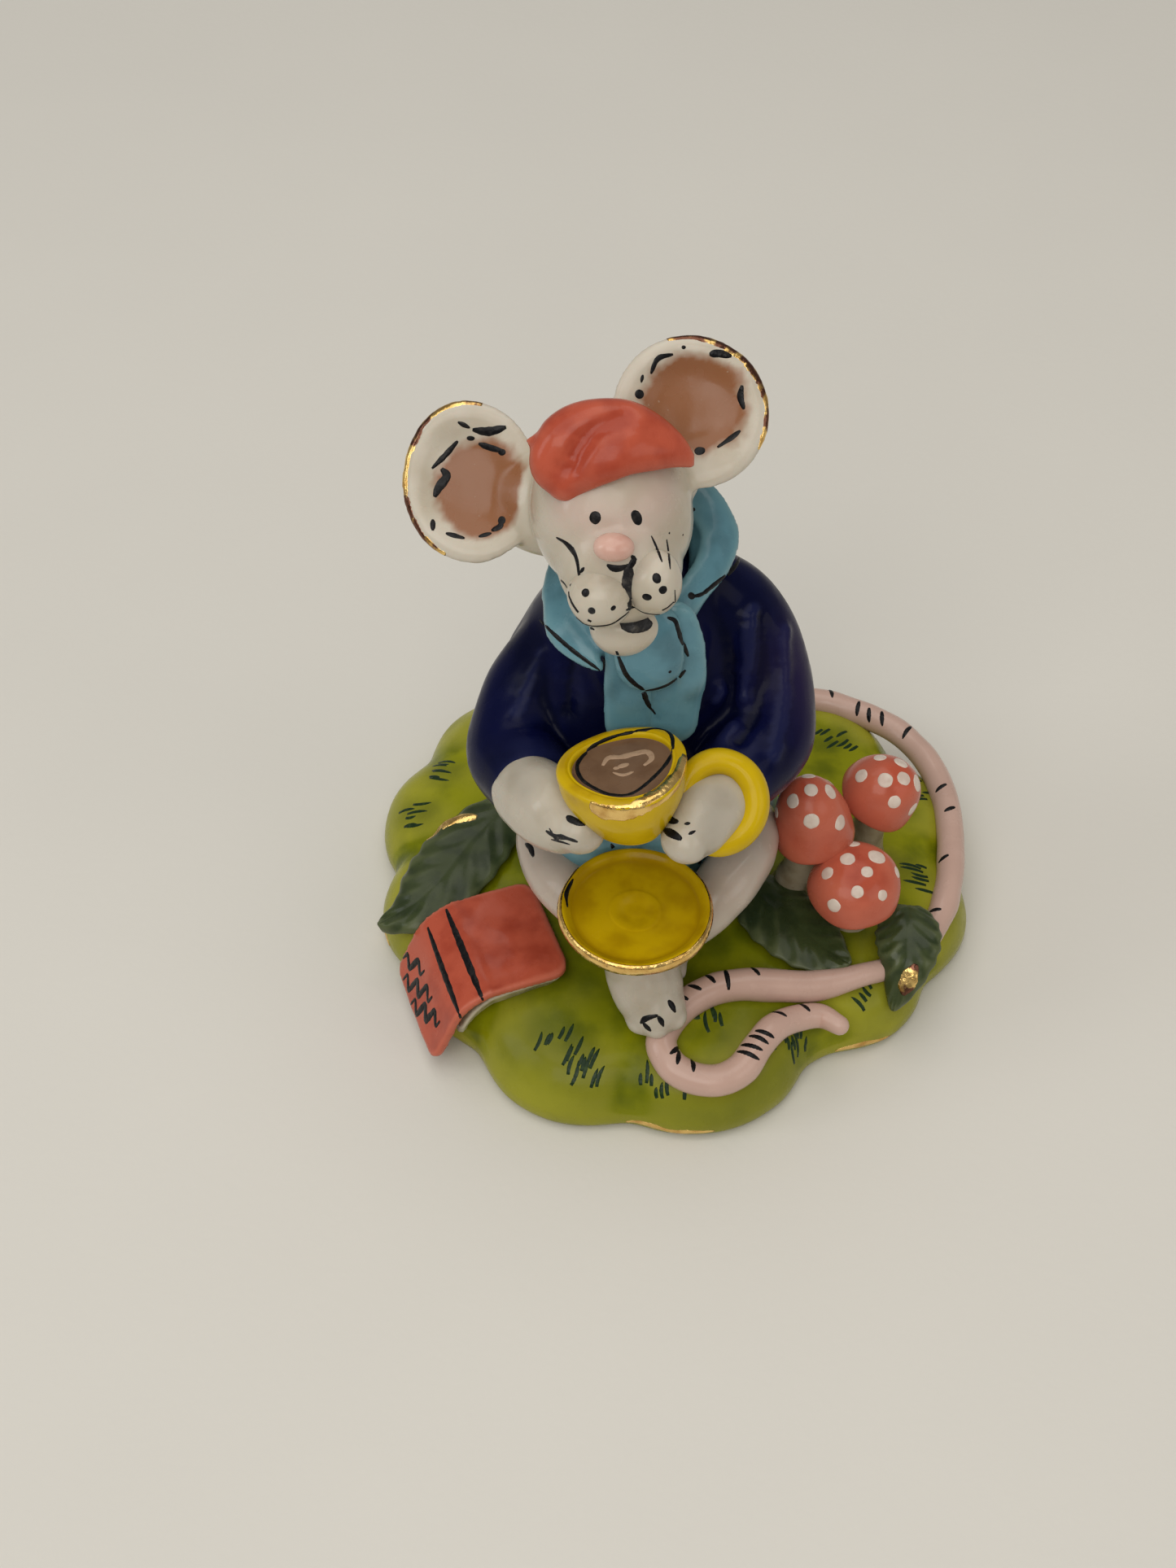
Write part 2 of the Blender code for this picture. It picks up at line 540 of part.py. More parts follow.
def build():
    clear_scene()
    mound = make_mound()
    shorts, jacket = make_torso()
    (leg_right, leg_left, foot_right, foot_left,
     sleeve_right, sleeve_left, paw_right, paw_left) = make_limbs()
    head, muzzle, pad_right, pad_left, chin, nose = make_head()
    ear_right = make_ear("ear_right", (-25.7, 0.6, 75.8), (8.3, 9.5), (46, -12, 0))
    ear_left = make_ear("ear_left", (-0.5, 0.8, 85.7), (9.1, 8.8), (46, 6, 0))
    crown, peak = make_cap()
    wrap, knot = make_scarf()
    end_right = make_scarf_end("scarf_end_right", (-7.2, -13.2, 60.4), (-8.2, -14.0, 51.8))
    end_left = make_scarf_end("scarf_end_left", (-2.2, -13.2, 60.4), (-0.6, -14.0, 51.8))
    cup, coffee, handle, saucer = make_tea_things()
    cover, pages = make_book()
    leaf_right, leaf_front, leaf_left = make_leaves()
    stem_a, cap_a = make_toadstool(
        "toadstool_inner", (15.2, -5.4), (17.4, -6.2, 23.8), 5.3, 5.4, (24, -16, 0))
    stem_b, cap_b = make_toadstool(
        "toadstool_outer", (25.4, 1.0), (26.4, -0.6, 22.6), 5.0, 4.0, (10, 18, 0))
    stem_c, cap_c = make_toadstool(
        "toadstool_front", (22.4, -10.4), (23.0, -13.4, 18.8), 5.8, 4.4, (16, 2, 0))
    tail = make_tail()
    bpy.context.view_layer.update()

    carve(shorts, mound)
    carve(jacket, shorts, head)
    carve(leg_right, shorts, jacket, saucer, mound)
    carve(leg_left, shorts, jacket, saucer, leg_right, mound)
    carve(foot_right, mound, leg_right)
    carve(foot_left, mound, leg_left, foot_right, leg_right)
    carve(sleeve_right, jacket, shorts)
    carve(sleeve_left, jacket, shorts)
    carve(paw_right, cup, sleeve_right)
    carve(handle, cup)
    carve(paw_left, cup, handle, sleeve_left)
    carve(chin, head, muzzle)
    carve(pad_right, head, muzzle, chin)
    carve(pad_left, head, muzzle, chin, pad_right)
    carve(nose, head, muzzle, pad_right, pad_left)
    carve(ear_right, head)
    carve(ear_left, head)
    carve(crown, head, muzzle, ear_right, ear_left)
    carve(peak, head, muzzle, crown, ear_left, ear_right)
    carve(wrap, head, muzzle, jacket, chin, sleeve_left, sleeve_right)
    carve(knot, wrap, chin, jacket)
    carve(end_right, knot, jacket, wrap, cup, sleeve_right)
    carve(end_left, knot, end_right, jacket, wrap, cup, handle, sleeve_left)
    carve(pages, cover, mound)
    carve(cover, mound)
    carve(leaf_right, cover, pages, mound)
    carve(tail, mound, foot_right, foot_left)
    carve(leaf_front, mound, tail, stem_a)
    carve(leaf_left, mound, tail)
    carve(stem_a, mound, shorts, cap_a)
    carve(stem_b, mound, cap_b)
    carve(stem_c, mound, cap_c)
    carve(cap_a, shorts, leg_left)
    carve(cap_b, cap_a)
    carve(cap_c, cap_a, cap_b)
    join(head, muzzle)


build()
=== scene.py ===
"""The finished look of a small glazed porcelain mouse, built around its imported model.

Lengths are in millimetres in the model's own frame, and turn into metres as each piece is added. Right and
left are the mouse's own sides, so its right is at -X, and it faces -Y. Clay shapes are overlapping balls and
rolls that are blended into one skin. Painted marks are thin raised strips and blots of enamel or gold that
follow the finished clay.
"""

import math
import random

import bmesh
import bpy
import numpy as np
from mathutils import Euler, Matrix, Vector, noise
from mathutils.bvhtree import BVHTree


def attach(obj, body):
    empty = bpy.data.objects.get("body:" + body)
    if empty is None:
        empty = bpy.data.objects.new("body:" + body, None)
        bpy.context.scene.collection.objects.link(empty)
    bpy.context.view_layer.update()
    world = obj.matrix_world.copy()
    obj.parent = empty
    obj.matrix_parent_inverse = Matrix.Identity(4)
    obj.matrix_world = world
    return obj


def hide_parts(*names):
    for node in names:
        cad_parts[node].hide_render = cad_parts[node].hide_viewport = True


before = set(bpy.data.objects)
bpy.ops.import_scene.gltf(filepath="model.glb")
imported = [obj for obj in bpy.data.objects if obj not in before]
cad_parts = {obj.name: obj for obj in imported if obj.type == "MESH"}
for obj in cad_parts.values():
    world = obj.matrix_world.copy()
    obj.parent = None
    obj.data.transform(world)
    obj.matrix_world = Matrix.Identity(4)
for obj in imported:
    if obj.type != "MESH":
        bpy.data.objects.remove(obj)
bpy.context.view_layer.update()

MM = 0.001

# The viewpoint, which is also where the decoration is laid out from.
EYE = Vector((-12.1, -204.2, 244.1))
EYE_PITCH = 43.0
LENS = 52.0
CANVAS_RIGHT = Vector((1.0, 0.0, 0.0))
CANVAS_UP = Vector((0.0, math.cos(math.radians(EYE_PITCH)), math.sin(math.radians(EYE_PITCH))))

# The mound: lobes given as (direction in degrees, reach from the middle, radius of the lobe).
MOUND_HEIGHT = 11.5
MOUND_CROWN_DROP = 1.0
MOUND_FLATNESS = 8
MOUND_SHOULDER = 0.4
MOUND_CORE = 33.0
MOUND_LOBES = (
    (-118, 40.8, 15), (-86, 39.4, 15), (-33, 37.3, 12), (-6, 40.6, 14), (22, 42.7, 14), (50, 42.6, 14),
    (78, 40.0, 14), (105, 40.6, 14), (133, 45.6, 14), (157, 43.8, 13), (-173, 40.9, 12), (-147, 38.8, 12),
)

# The head's tilt, and each ear as (place, radii, tilt). An ear joins the head at its root, in degrees from
# its own +X. Its brown patch is ((x, y), (across, up)), and nothing behind BLUSH_DEPTH is brown.
HEAD_TILT = (0, -14, 0)
EAR_RIGHT = ((-25.7, 0.6, 75.8), (8.3, 9.5), (46, -12, 0))
EAR_LEFT = ((-0.5, 0.8, 85.7), (9.1, 8.8), (46, 6, 0))
EAR_RIGHT_ROOT = -8
EAR_LEFT_ROOT = 222
BLUSH_RIGHT = ((1.1, -0.8), (5.9, 6.0))
BLUSH_LEFT = ((0.3, 0.9), (6.5, 5.9))
BLUSH_DEPTH = -1.7

# The tea things.
CUP_RIM_RADIUS = 7.5
CUP_FOOT_RADIUS = 4.4
CUP_HEIGHT = 8.8
CUP_WALL = 1.7
COFFEE_DEPTH = 0.8
CUP_PLACE = ((-7.1, -24.5, 44.9), (-8, -6, 0))
HANDLE_PLACE = ((3.4, -22.6, 46.2), (43, 6, 0))
HANDLE_RADII = (4.4, 4.9)
HANDLE_THICKNESS = 1.6
SAUCER_RADIUS = 9.4
SAUCER_PLACE = ((-6.3, -26.5, 29.5), (1.5, 1, 0))

# The open book, face down over the edge of the mound.
BOOK_PLACE = ((-28.0, -18.4, 0.0), (0, 0, 19.6))
BOOK_LENGTH = 16.5
BOOK_PANEL = 11.8
BOOK_SPINE = 3.2
BOOK_TOP = 13.6
COVER_THICKNESS = 1.2

TAIL_RADIUS = 1.9
TAIL_LIFT = 0.9
TAIL_LOWEST = 8.6

# How thick painted marks stand, how deep they are bedded so that no gap shows under them, how far their edges
# dip, how far the brush spreads past a mark's own width, how unevenly, how far apart a stroke's stops are,
# and the deepest step in the clay that a stroke runs over.
ENAMEL_RISE = 0.08
ENAMEL_BED = 0.14
ENAMEL_EDGE = 0.01
BRUSH = 1.35
BRUSH_UNEVENNESS = 0.25
STROKE_STEP = 0.3
DEEPEST_STEP = 1.2


# ---- shapes

def placed(place, tilt=(0, 0, 0)):
    turn = Euler([math.radians(angle) for angle in tilt]).to_matrix().to_4x4()
    return Matrix.Translation(Vector(place)) @ turn


def circle(count):
    return [2 * math.pi * step / count for step in range(count)]


def round_spot(matrix, radii, angle, height=0.0):
    """A point on an ellipse round a placed +Z, in the direction of angle."""
    return matrix @ Vector((radii[0] * math.cos(angle), radii[1] * math.sin(angle), height))


def smooth_path(route, pieces, closed=False):
    """Points on a Catmull-Rom curve through the route, pieces of them to each stretch."""
    knots = [Vector(knot) for knot in route]
    if closed:
        padded = [knots[-1], *knots, knots[0], knots[1]]
    else:
        padded = [2 * knots[0] - knots[1], *knots, 2 * knots[-1] - knots[-2]]
    path = []
    for a, b, c, d in zip(padded, padded[1:], padded[2:], padded[3:]):
        for step in range(pieces):
            t = step / pieces
            path.append(0.5 * (2 * b + (c - a) * t + (2 * a - 5 * b + 4 * c - d) * t**2
                               + (3 * b - 3 * c + d - a) * t**3))
    if not closed:
        path.append(knots[-1])
    return path


def loft(bm, rings, closed=False):
    """Skins a row of rings of points, and closes both ends with fans unless the row is closed."""
    rows = [[bm.verts.new(point) for point in ring] for ring in rings]
    count = len(rows[0])
    pairs = list(zip(rows, rows[1:]))
    if closed:
        pairs.append((rows[-1], rows[0]))
    for first, second in pairs:
        for i in range(count):
            j = (i + 1) % count
            bm.faces.new((first[i], first[j], second[j], second[i]))
    if closed:
        return
    for row in (rows[0], rows[-1]):
        middle = bm.verts.new(sum((vert.co for vert in row), Vector()) / count)
        for i in range(count):
            bm.faces.new((row[i], row[(i + 1) % count], middle))


def ball(bm, place, radii, tilt=(0, 0, 0)):
    """An ellipsoid."""
    matrix = placed(place, tilt) @ Matrix.Diagonal((*radii, 1.0))
    bmesh.ops.create_uvsphere(bm, u_segments=48, v_segments=32, radius=1.0, matrix=matrix)


def rounded_stops(path, closed):
    """(place, direction, radius) along a path of (x, y, z, radius), with a dome at each open end."""
    last = len(path) - 1
    stops = []
    for index, stop in enumerate(path):
        before = path[index - 1] if closed or index > 0 else stop
        after = path[(index + 1) % len(path)] if closed or index < last else stop
        stops.append((stop.xyz, (after.xyz - before.xyz).normalized(), stop.w))
    if closed:
        return stops
    dome = [math.radians(angle) for angle in (22, 44, 66, 84)]
    start, along, radius = stops[0]
    head = [(start - along * radius * math.sin(a), along, radius * math.cos(a)) for a in reversed(dome)]
    end, along, radius = stops[-1]
    tail = [(end + along * radius * math.sin(a), along, radius * math.cos(a)) for a in dome]
    return head + stops + tail


def roll(bm, route, pieces=6, closed=False, up=(0, 0, 1), flat=1.0, sides=24):
    """A round-ended roll of clay through (x, y, z, radius) stops, flat times as deep along up."""
    rings = []
    for place, along, radius in rounded_stops(smooth_path(route, pieces, closed), closed):
        across = along.cross(Vector(up)).normalized()
        out = across.cross(along)
        rings.append([place + across * radius * math.cos(a) + out * radius * flat * math.sin(a)
                      for a in circle(sides)])
    loft(bm, rings, closed)


def turned(bm, profile, matrix, steps=96, wobble=None):
    """A solid turned about its own Z from (radius, height) points, top middle to bottom middle."""
    rings = []
    for radius, height in smooth_path(profile, 4):
        ring = []
        for angle in circle(steps):
            reach = max(0.02, radius) * (wobble(angle) if wobble else 1.0)
            ring.append(round_spot(matrix, (reach, reach), angle, height))
        rings.append(ring)
    loft(bm, rings)


def mesh_of(bm, name):
    bmesh.ops.recalc_face_normals(bm, faces=bm.faces)
    mesh = bpy.data.meshes.new(name)
    bm.to_mesh(mesh)
    bm.free()
    return mesh


def skin(bm, name, voxel, softness):
    """Blends overlapping lumps into one closed skin, and softens the creases between them."""
    lump = bpy.data.objects.new(name + "_lump", mesh_of(bm, name))
    bpy.context.scene.collection.objects.link(lump)
    blend = lump.modifiers.new("blend", "REMESH")
    blend.mode = "VOXEL"
    blend.voxel_size = voxel
    soften = lump.modifiers.new("soften", "SMOOTH")
    soften.factor = 0.5
    soften.iterations = softness
    graph = bpy.context.evaluated_depsgraph_get()
    mesh = bpy.data.meshes.new_from_object(lump.evaluated_get(graph))
    bpy.data.objects.remove(lump, do_unlink=True)
    return mesh


# ---- modelling by hand

def points_of(mesh):
    points = np.empty(len(mesh.vertices) * 3)
    mesh.vertices.foreach_get("co", points)
    return points.reshape(-1, 3)


def normals_of(mesh):
    normals = np.empty(len(mesh.vertices) * 3)
    mesh.vertex_normals.foreach_get("vector", normals)
    return normals.reshape(-1, 3)


def move_points(mesh, points):
    mesh.vertices.foreach_set("co", points.ravel())
    mesh.update()


def knead(mesh, amount, size, seed):
    """The slight unevenness of hand modelling: swellings about size across, and amount high."""
    shift = Vector((seed, 0.0, 0.0))
    lift = [noise.noise(vert.co / size + shift) * amount for vert in mesh.vertices]
    move_points(mesh, points_of(mesh) + normals_of(mesh) * np.array(lift)[:, None])


def nearness(points, route, reach):
    """1 where a smooth line through the route meets the points, falling to 0 a little past reach."""
    nearest = np.full(len(points), np.inf)
    for stop in np.array(smooth_path(route, 16)):
        stop = points[((points - stop)**2).sum(1).argmin()]
        nearest = np.minimum(nearest, ((points - stop)**2).sum(1))
    return np.exp(-nearest / reach**2)


def press(mesh, route, reach, depth):
    """Presses a groove along the route with a round tool; below zero, depth pinches up a ridge."""
    points = points_of(mesh)
    move_points(mesh, points - normals_of(mesh) * (nearness(points, route, reach) * depth)[:, None])


def store(mesh, name, values):
    """Keeps a number on each point of the mesh, for its glaze to read."""
    layer = mesh.attributes.new(name, "FLOAT", "POINT")
    layer.data.foreach_set("value", np.clip(values, -1.0, 1.0).astype(np.float32))


def mark_hollows(mesh, passes=12, full=0.22):
    """Stores how far each point lies in a crease, from 1, or on a ridge, to -1, as glaze pools and thins."""
    edges = np.empty(len(mesh.edges) * 2, dtype=np.int64)
    mesh.edges.foreach_get("vertices", edges)
    first, second = edges.reshape(-1, 2).T
    count = len(mesh.vertices)
    points = points_of(mesh)
    shares = np.bincount(first, minlength=count) + np.bincount(second, minlength=count)
    soft = points.copy()
    for _ in range(passes):
        total = np.empty_like(soft)
        for axis in range(3):
            total[:, axis] = (np.bincount(first, soft[second, axis], count)
                              + np.bincount(second, soft[first, axis], count))
        soft = total / np.maximum(shares, 1)[:, None]
    store(mesh, "hollow", ((soft - points) * normals_of(mesh)).sum(1) / full)


def add_piece(name, mesh, material, *replaced):
    """A finished piece in metres, riding on the figurine's one body."""
    mesh.transform(Matrix.Scale(MM, 4))
    mesh.materials.clear()
    mesh.materials.append(material)
    mesh.shade_smooth()
    piece = bpy.data.objects.new(name, mesh)
    bpy.context.scene.collection.objects.link(piece)
    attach(piece, "root")
    if replaced:
        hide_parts(*replaced)
    return piece


def add_clay(name, mesh, glaze, *replaced):
    """A glazed piece of clay, its creases marked, in place of the nodes named or else its namesake."""
    mark_hollows(mesh)
    return add_piece("glazed_" + name, mesh, glaze, *(replaced or (name,)))


def lump_clay(name, bm, voxel, softness, kneading, glaze, *replaced):
    """Lumps blended into one piece of clay, kneaded by (amount, size, seed)."""
    mesh = skin(bm, name, voxel, softness)
    knead(mesh, *kneading)
    return add_clay(name, mesh, glaze, *replaced)


# ---- marks laid on the clay

def surface(*pieces):
    """A search tree over the pieces' surfaces, in millimetres."""
    points = []
    faces = []
    for piece in pieces:
        start = len(points)
        points += [vert.co / MM for vert in piece.data.vertices]
        faces += [[start + corner for corner in face.vertices] for face in piece.data.polygons]
    return BVHTree.FromPolygons(points, faces)


def lay_strip(bm, tree, path, widths, rise=ENAMEL_RISE, closed=False):
    """A closed strip of enamel that follows the surface along the path, widths[i] wide at each point."""
    columns = (-1.0, -0.82, -0.45, 0.0, 0.45, 0.82, 1.0)
    stops = [tree.find_nearest(point)[:2] for point in path]
    last = len(stops) - 1
    rings = []
    for index, (place, out) in enumerate(stops):
        before = stops[index - 1][0] if closed or index > 0 else place
        after = stops[(index + 1) % len(stops)][0] if closed or index < last else place
        across = (after - before).cross(out).normalized()
        top = []
        under = []
        for column in columns:
            spot, facing = tree.find_nearest(place + across * column * widths[index] / 2)[:2]
            normal = (facing + out).normalized()
            top.append(spot + normal * (rise * (1 - column**2) - ENAMEL_EDGE))
            under.append(spot - normal * ENAMEL_BED)
        rings.append(top + under[::-1])
    loft(bm, rings, closed)


def lay_blot(bm, tree, place, radii, turn=0.0, rise=ENAMEL_RISE, ragged=0.08, steps=20):
    """A closed blot of enamel on the surface nearest to place, with radii across and up the canvas."""
    middle, out = tree.find_nearest(place)[:2]
    across = CANVAS_RIGHT - out * CANVAS_RIGHT.dot(out)
    if across.length < 0.2:
        across = CANVAS_UP.cross(out)
    across.normalize()
    up = out.cross(across)
    top = []
    under = []
    for fraction in (0.3, 0.6, 0.82, 0.94, 1.0):
        upper = []
        lower = []
        for angle in circle(steps):
            edge = 1 + ragged * noise.noise(Vector((math.cos(angle), math.sin(angle), middle.length)) * 1.7)
            x = radii[0] * fraction * edge * math.cos(angle)
            y = radii[1] * fraction * edge * math.sin(angle)
            c = math.cos(math.radians(turn))
            s = math.sin(math.radians(turn))
            spot, facing = tree.find_nearest(middle + across * (x * c - y * s) + up * (x * s + y * c))[:2]
            normal = (facing + out).normalized()
            upper.append(spot + normal * (rise * math.sqrt(1 - fraction**2) - ENAMEL_EDGE))
            lower.append(spot - normal * ENAMEL_BED)
        top.append(upper)
        under.append(lower)
    loft(bm, top + under[::-1])


def pressure(count, ends=(0.35, 0.35)):
    """How hard a brush presses along a stroke: it eases in and lifts off."""
    shares = []
    for index in range(count):
        t = index / (count - 1)
        end = ends[0] * (1 - t) + ends[1] * t
        shares.append(end + (1 - end) * math.sin(math.pi * t)**0.7)
    return shares


class Canvas:
    """A sheet held before the clay, square to the view. What is drawn on it falls on the clay behind it."""

    def __init__(self, tree, middle, bm):
        self.tree = tree
        self.middle = Vector(middle)
        self.bm = bm

    def spot(self, x, y):
        point = self.middle + CANVAS_RIGHT * x + CANVAS_UP * y
        hit = self.tree.ray_cast(EYE, (point - EYE).normalized())[0]
        return hit if hit else self.tree.find_nearest(point)[0]

    def stroke(self, marks, width, closed=False):
        """A brush stroke through the (x, y) marks, lifted wherever the clay behind it steps away."""
        length = sum(math.dist(a, b) for a, b in zip(marks, marks[1:]))
        pieces = max(2, math.ceil(length / STROKE_STEP / (len(marks) - 1)))
        path = [self.spot(mark.x, mark.y) for mark in smooth_path(marks, pieces, closed)]
        shares = [1.0] * len(path) if closed else pressure(len(path))
        widths = [BRUSH * width * share * (1 + BRUSH_UNEVENNESS * noise.noise(point * 1.3))
                  for share, point in zip(shares, path)]
        if closed:
            lay_strip(self.bm, self.tree, path, widths, closed=True)
            return
        start = 0
        for index in range(1, len(path) + 1):
            if index == len(path) or (path[index] - path[index - 1]).length > DEEPEST_STEP:
                if index - start > 2:
                    lay_strip(self.bm, self.tree, path[start:index], widths[start:index])
                start = index


def paint(tree, middle, strokes, blots=()):
    """Enamel on a canvas at middle, in strokes (width, (x, y), ...) and blots (x, y, across, up, turn)."""
    bm = bmesh.new()
    canvas = Canvas(tree, middle, bm)
    for width, *marks in strokes:
        canvas.stroke(marks, width)
    for x, y, across, up, turn in blots:
        lay_blot(bm, tree, canvas.spot(x, y), (across, up), turn)
    return bm


def add_marks(name, bm, material):
    add_piece("painted_" + name, mesh_of(bm, name), material)


# ---- glazes

class Glaze:
    """A Principled material being put together: short ways to add and join nodes."""

    def __init__(self, name):
        self.material = bpy.data.materials.new(name)
        self.material.use_nodes = True
        self.tree = self.material.node_tree
        self.shader = self.tree.nodes["Principled BSDF"]
        self.place = self.add("ShaderNodeTexCoord").outputs["Object"]

    def add(self, kind, **settings):
        node = self.tree.nodes.new(kind)
        for setting, value in settings.items():
            setattr(node, setting, value)
        return node

    def join(self, source, target):
        self.tree.links.new(source, target)

    def mottle(self, size, seed=0.0, detail=3.0):
        """A noise from 0 to 1 whose patches are about size millimetres across."""
        node = self.add("ShaderNodeTexNoise", noise_dimensions="4D")
        node.inputs["Scale"].default_value = 1 / (size * MM)
        node.inputs["Detail"].default_value = detail
        node.inputs["W"].default_value = seed
        self.join(self.place, node.inputs["Vector"])
        return node.outputs["Fac"]

    def stored(self, name):
        return self.add("ShaderNodeAttribute", attribute_name=name).outputs["Fac"]

    def ramp(self, value, start, end, low=0.0, high=1.0):
        """Low below start and high above end, eased between them."""
        node = self.add("ShaderNodeMapRange", interpolation_type="SMOOTHSTEP")
        for socket, number in (("From Min", start), ("From Max", end), ("To Min", low), ("To Max", high)):
            node.inputs[socket].default_value = number
        self.join(value, node.inputs["Value"])
        return node.outputs["Result"]

    def mix(self, amount, first, second):
        """First where amount is 0, second where it is 1. Each is a colour or a socket."""
        node = self.add("ShaderNodeMix", data_type="RGBA")
        factor, colour_a, colour_b = (node.inputs[index] for index in (0, 6, 7))
        self.join(amount, factor)
        for socket, colour in ((colour_a, first), (colour_b, second)):
            if isinstance(colour, bpy.types.NodeSocket):
                self.join(colour, socket)
            else:
                socket.default_value = (*colour, 1.0)
        return node.outputs[2]

    def colour(self, socket):
        self.join(socket, self.shader.inputs["Base Color"])

    def roughen(self, size, low, high):
        """Roughness between low and high, in patches about size across."""
        self.join(self.ramp(self.mottle(size, 7.0), 0.35, 0.7, low, high), self.shader.inputs["Roughness"])

    def relief(self, coarse, fine, strength):
        """Uneven glaze: coarse waves with fine pinholes over them, sizes in millimetres."""
        height = self.add("ShaderNodeMath", operation="MULTIPLY_ADD")
        self.join(self.mottle(fine, 3.0, 2.0), height.inputs[0])
        height.inputs[1].default_value = 0.25
        self.join(self.mottle(coarse, 5.0, 1.0), height.inputs[2])
        bump = self.add("ShaderNodeBump")
        bump.inputs["Strength"].default_value = strength
        bump.inputs["Distance"].default_value = 0.2 * MM
        self.join(height.outputs[0], bump.inputs["Height"])
        self.join(bump.outputs["Normal"], self.shader.inputs["Normal"])

    def set(self, **values):
        for name, value in values.items():
            self.shader.inputs[name.replace("_", " ")].default_value = value


def make_glaze(name, colour, pooled, thin, patch=5.0, tints=(), gloss=(0.16, 0.34), strength=0.2, shine=0.3,
               **more):
    """Fired glaze: patchy between colour and pooled, darkest in hollows, thin and pale on ridges.

    Patch is how many millimetres across the patches are, gloss the least and most roughness, and strength is
    the relief's. Each tint is (attribute, colour): a second glaze where the clay has that attribute stored.
    """
    glaze = Glaze(name)
    patches = glaze.ramp(glaze.mottle(patch), 0.4, 0.68, 0.0, 0.75)
    shade = glaze.mix(patches, colour, pooled)
    hollow = glaze.stored("hollow")
    shade = glaze.mix(glaze.ramp(hollow, 0.1, 0.9, 0.0, 0.9), shade, pooled)
    shade = glaze.mix(glaze.ramp(hollow, -0.25, -1.0, 0.0, 0.6), shade, thin)
    for attribute, tint in tints:
        shade = glaze.mix(glaze.stored(attribute), shade, tint)
    specks = glaze.ramp(glaze.mottle(0.45, 11.0, 1.0), 0.74, 0.8, 0.0, 0.35)
    glaze.colour(glaze.mix(specks, shade, pooled))
    glaze.roughen(3.0, *gloss)
    glaze.relief(4.0, 0.5, strength)
    glaze.set(Specular_IOR_Level=shine, Coat_Weight=0.4 * shine, Coat_Roughness=0.08, **more)
    return glaze.material


def make_gold(name, thin):
    """Fired gold lustre: bright where it is thick, violet brown where it was brushed thin.

    Thin is where between 0 and 1 the patchiness starts to show brown: the lower, the more brown.
    """
    glaze = Glaze(name)
    thick = glaze.mix(glaze.ramp(glaze.mottle(1.8), 0.4, 0.7), (0.90, 0.62, 0.22), (0.62, 0.36, 0.10))
    worn = glaze.ramp(glaze.mottle(2.4, 4.0), thin, thin + 0.08)
    glaze.colour(glaze.mix(worn, thick, (0.16, 0.07, 0.045)))
    glaze.roughen(1.0, 0.12, 0.38)
    glaze.relief(0.9, 0.25, 0.6)
    glaze.set(Metallic=1.0)
    return glaze.material


def make_enamel(name, colour, weak):
    """Overglaze paint, weak and brownish where the brush ran dry."""
    glaze = Glaze(name)
    shade = glaze.mix(glaze.ramp(glaze.mottle(0.8), 0.5, 0.75, 0.0, 0.8), colour, weak)
    glaze.colour(shade)
    glaze.roughen(0.8, 0.22, 0.5)
    glaze.relief(0.6, 0.2, 0.4)
    glaze.set(Specular_IOR_Level=0.2)
    return glaze.material


# The white glaze's dark grey tint is painted shade, laid on the legs and paws.
WHITE = make_glaze(
    "white_porcelain", (0.57, 0.515, 0.42), (0.46, 0.40, 0.30), (0.63, 0.58, 0.49), patch=7.0,
    tints=(("blush", (0.25, 0.080, 0.018)), ("flush", (0.56, 0.40, 0.345)), ("grey_shading", (0.05, 0.048, 0.045))),
    Subsurface_Weight=0.08, Subsurface_Scale=0.0015)
# The navy glaze's lighter violet tint is a painted sheen on the outer side of the left sleeve.
NAVY = make_glaze(
    "navy_glaze", (0.003, 0.0045, 0.034), (0.001, 0.002, 0.014), (0.014, 0.018, 0.068), patch=9.0,
    tints=(("sleeve_sheen", (0.035, 0.022, 0.065)),), gloss=(0.22, 0.38), strength=0.1, shine=0.07)
TEAL = make_glaze(
    "teal_glaze", (0.112, 0.262, 0.325), (0.060, 0.150, 0.190), (0.17, 0.34, 0.38))
CORAL = make_glaze(
    "coral_glaze", (0.49, 0.092, 0.048), (0.34, 0.046, 0.022), (0.58, 0.165, 0.10), patch=4.0, shine=0.2)
PINK = make_glaze(
    "pink_glaze", (0.53, 0.315, 0.245), (0.42, 0.225, 0.165), (0.62, 0.45, 0.38))
NOSE_PINK = make_glaze(
    "nose_pink_glaze", (0.66, 0.42, 0.34), (0.58, 0.31, 0.245), (0.72, 0.54, 0.46), patch=2.5)
YELLOW = make_glaze(
    "yellow_glaze", (0.55, 0.36, 0.002), (0.37, 0.215, 0.001), (0.66, 0.46, 0.006), patch=4.0,
    gloss=(0.14, 0.28), shine=0.14)
COFFEE = make_glaze(
    "coffee_glaze", (0.185, 0.105, 0.058), (0.14, 0.075, 0.040), (0.28, 0.17, 0.10), patch=2.5)
# The grass glaze's shade tint is painted shade on the mound, and the dark wash round the tufts of grass.
GRASS = make_glaze(
    "grass_glaze", (0.270, 0.280, 0.004), (0.095, 0.120, 0.002), (0.38, 0.36, 0.04), patch=6.0,
    tints=(("shade", (0.040, 0.062, 0.004)),), gloss=(0.2, 0.38), shine=0.11)
LEAF = make_glaze(
    "leaf_glaze", (0.045, 0.062, 0.020), (0.018, 0.030, 0.010), (0.11, 0.13, 0.055), patch=3.0,
    gloss=(0.22, 0.42), shine=0.25)
STEM = make_glaze(
    "stem_glaze", (0.36, 0.30, 0.20), (0.20, 0.145, 0.08), (0.50, 0.44, 0.33), patch=2.5)
PAPER = make_glaze(
    "page_glaze", (0.42, 0.37, 0.24), (0.20, 0.175, 0.095), (0.56, 0.51, 0.39), patch=2.5)
DOT_WHITE = make_glaze(
    "dot_glaze", (0.72, 0.62, 0.53), (0.60, 0.46, 0.39), (0.80, 0.74, 0.66), patch=1.5)
CREAM = make_enamel("cream_enamel", (0.42, 0.28, 0.18), (0.27, 0.16, 0.095))
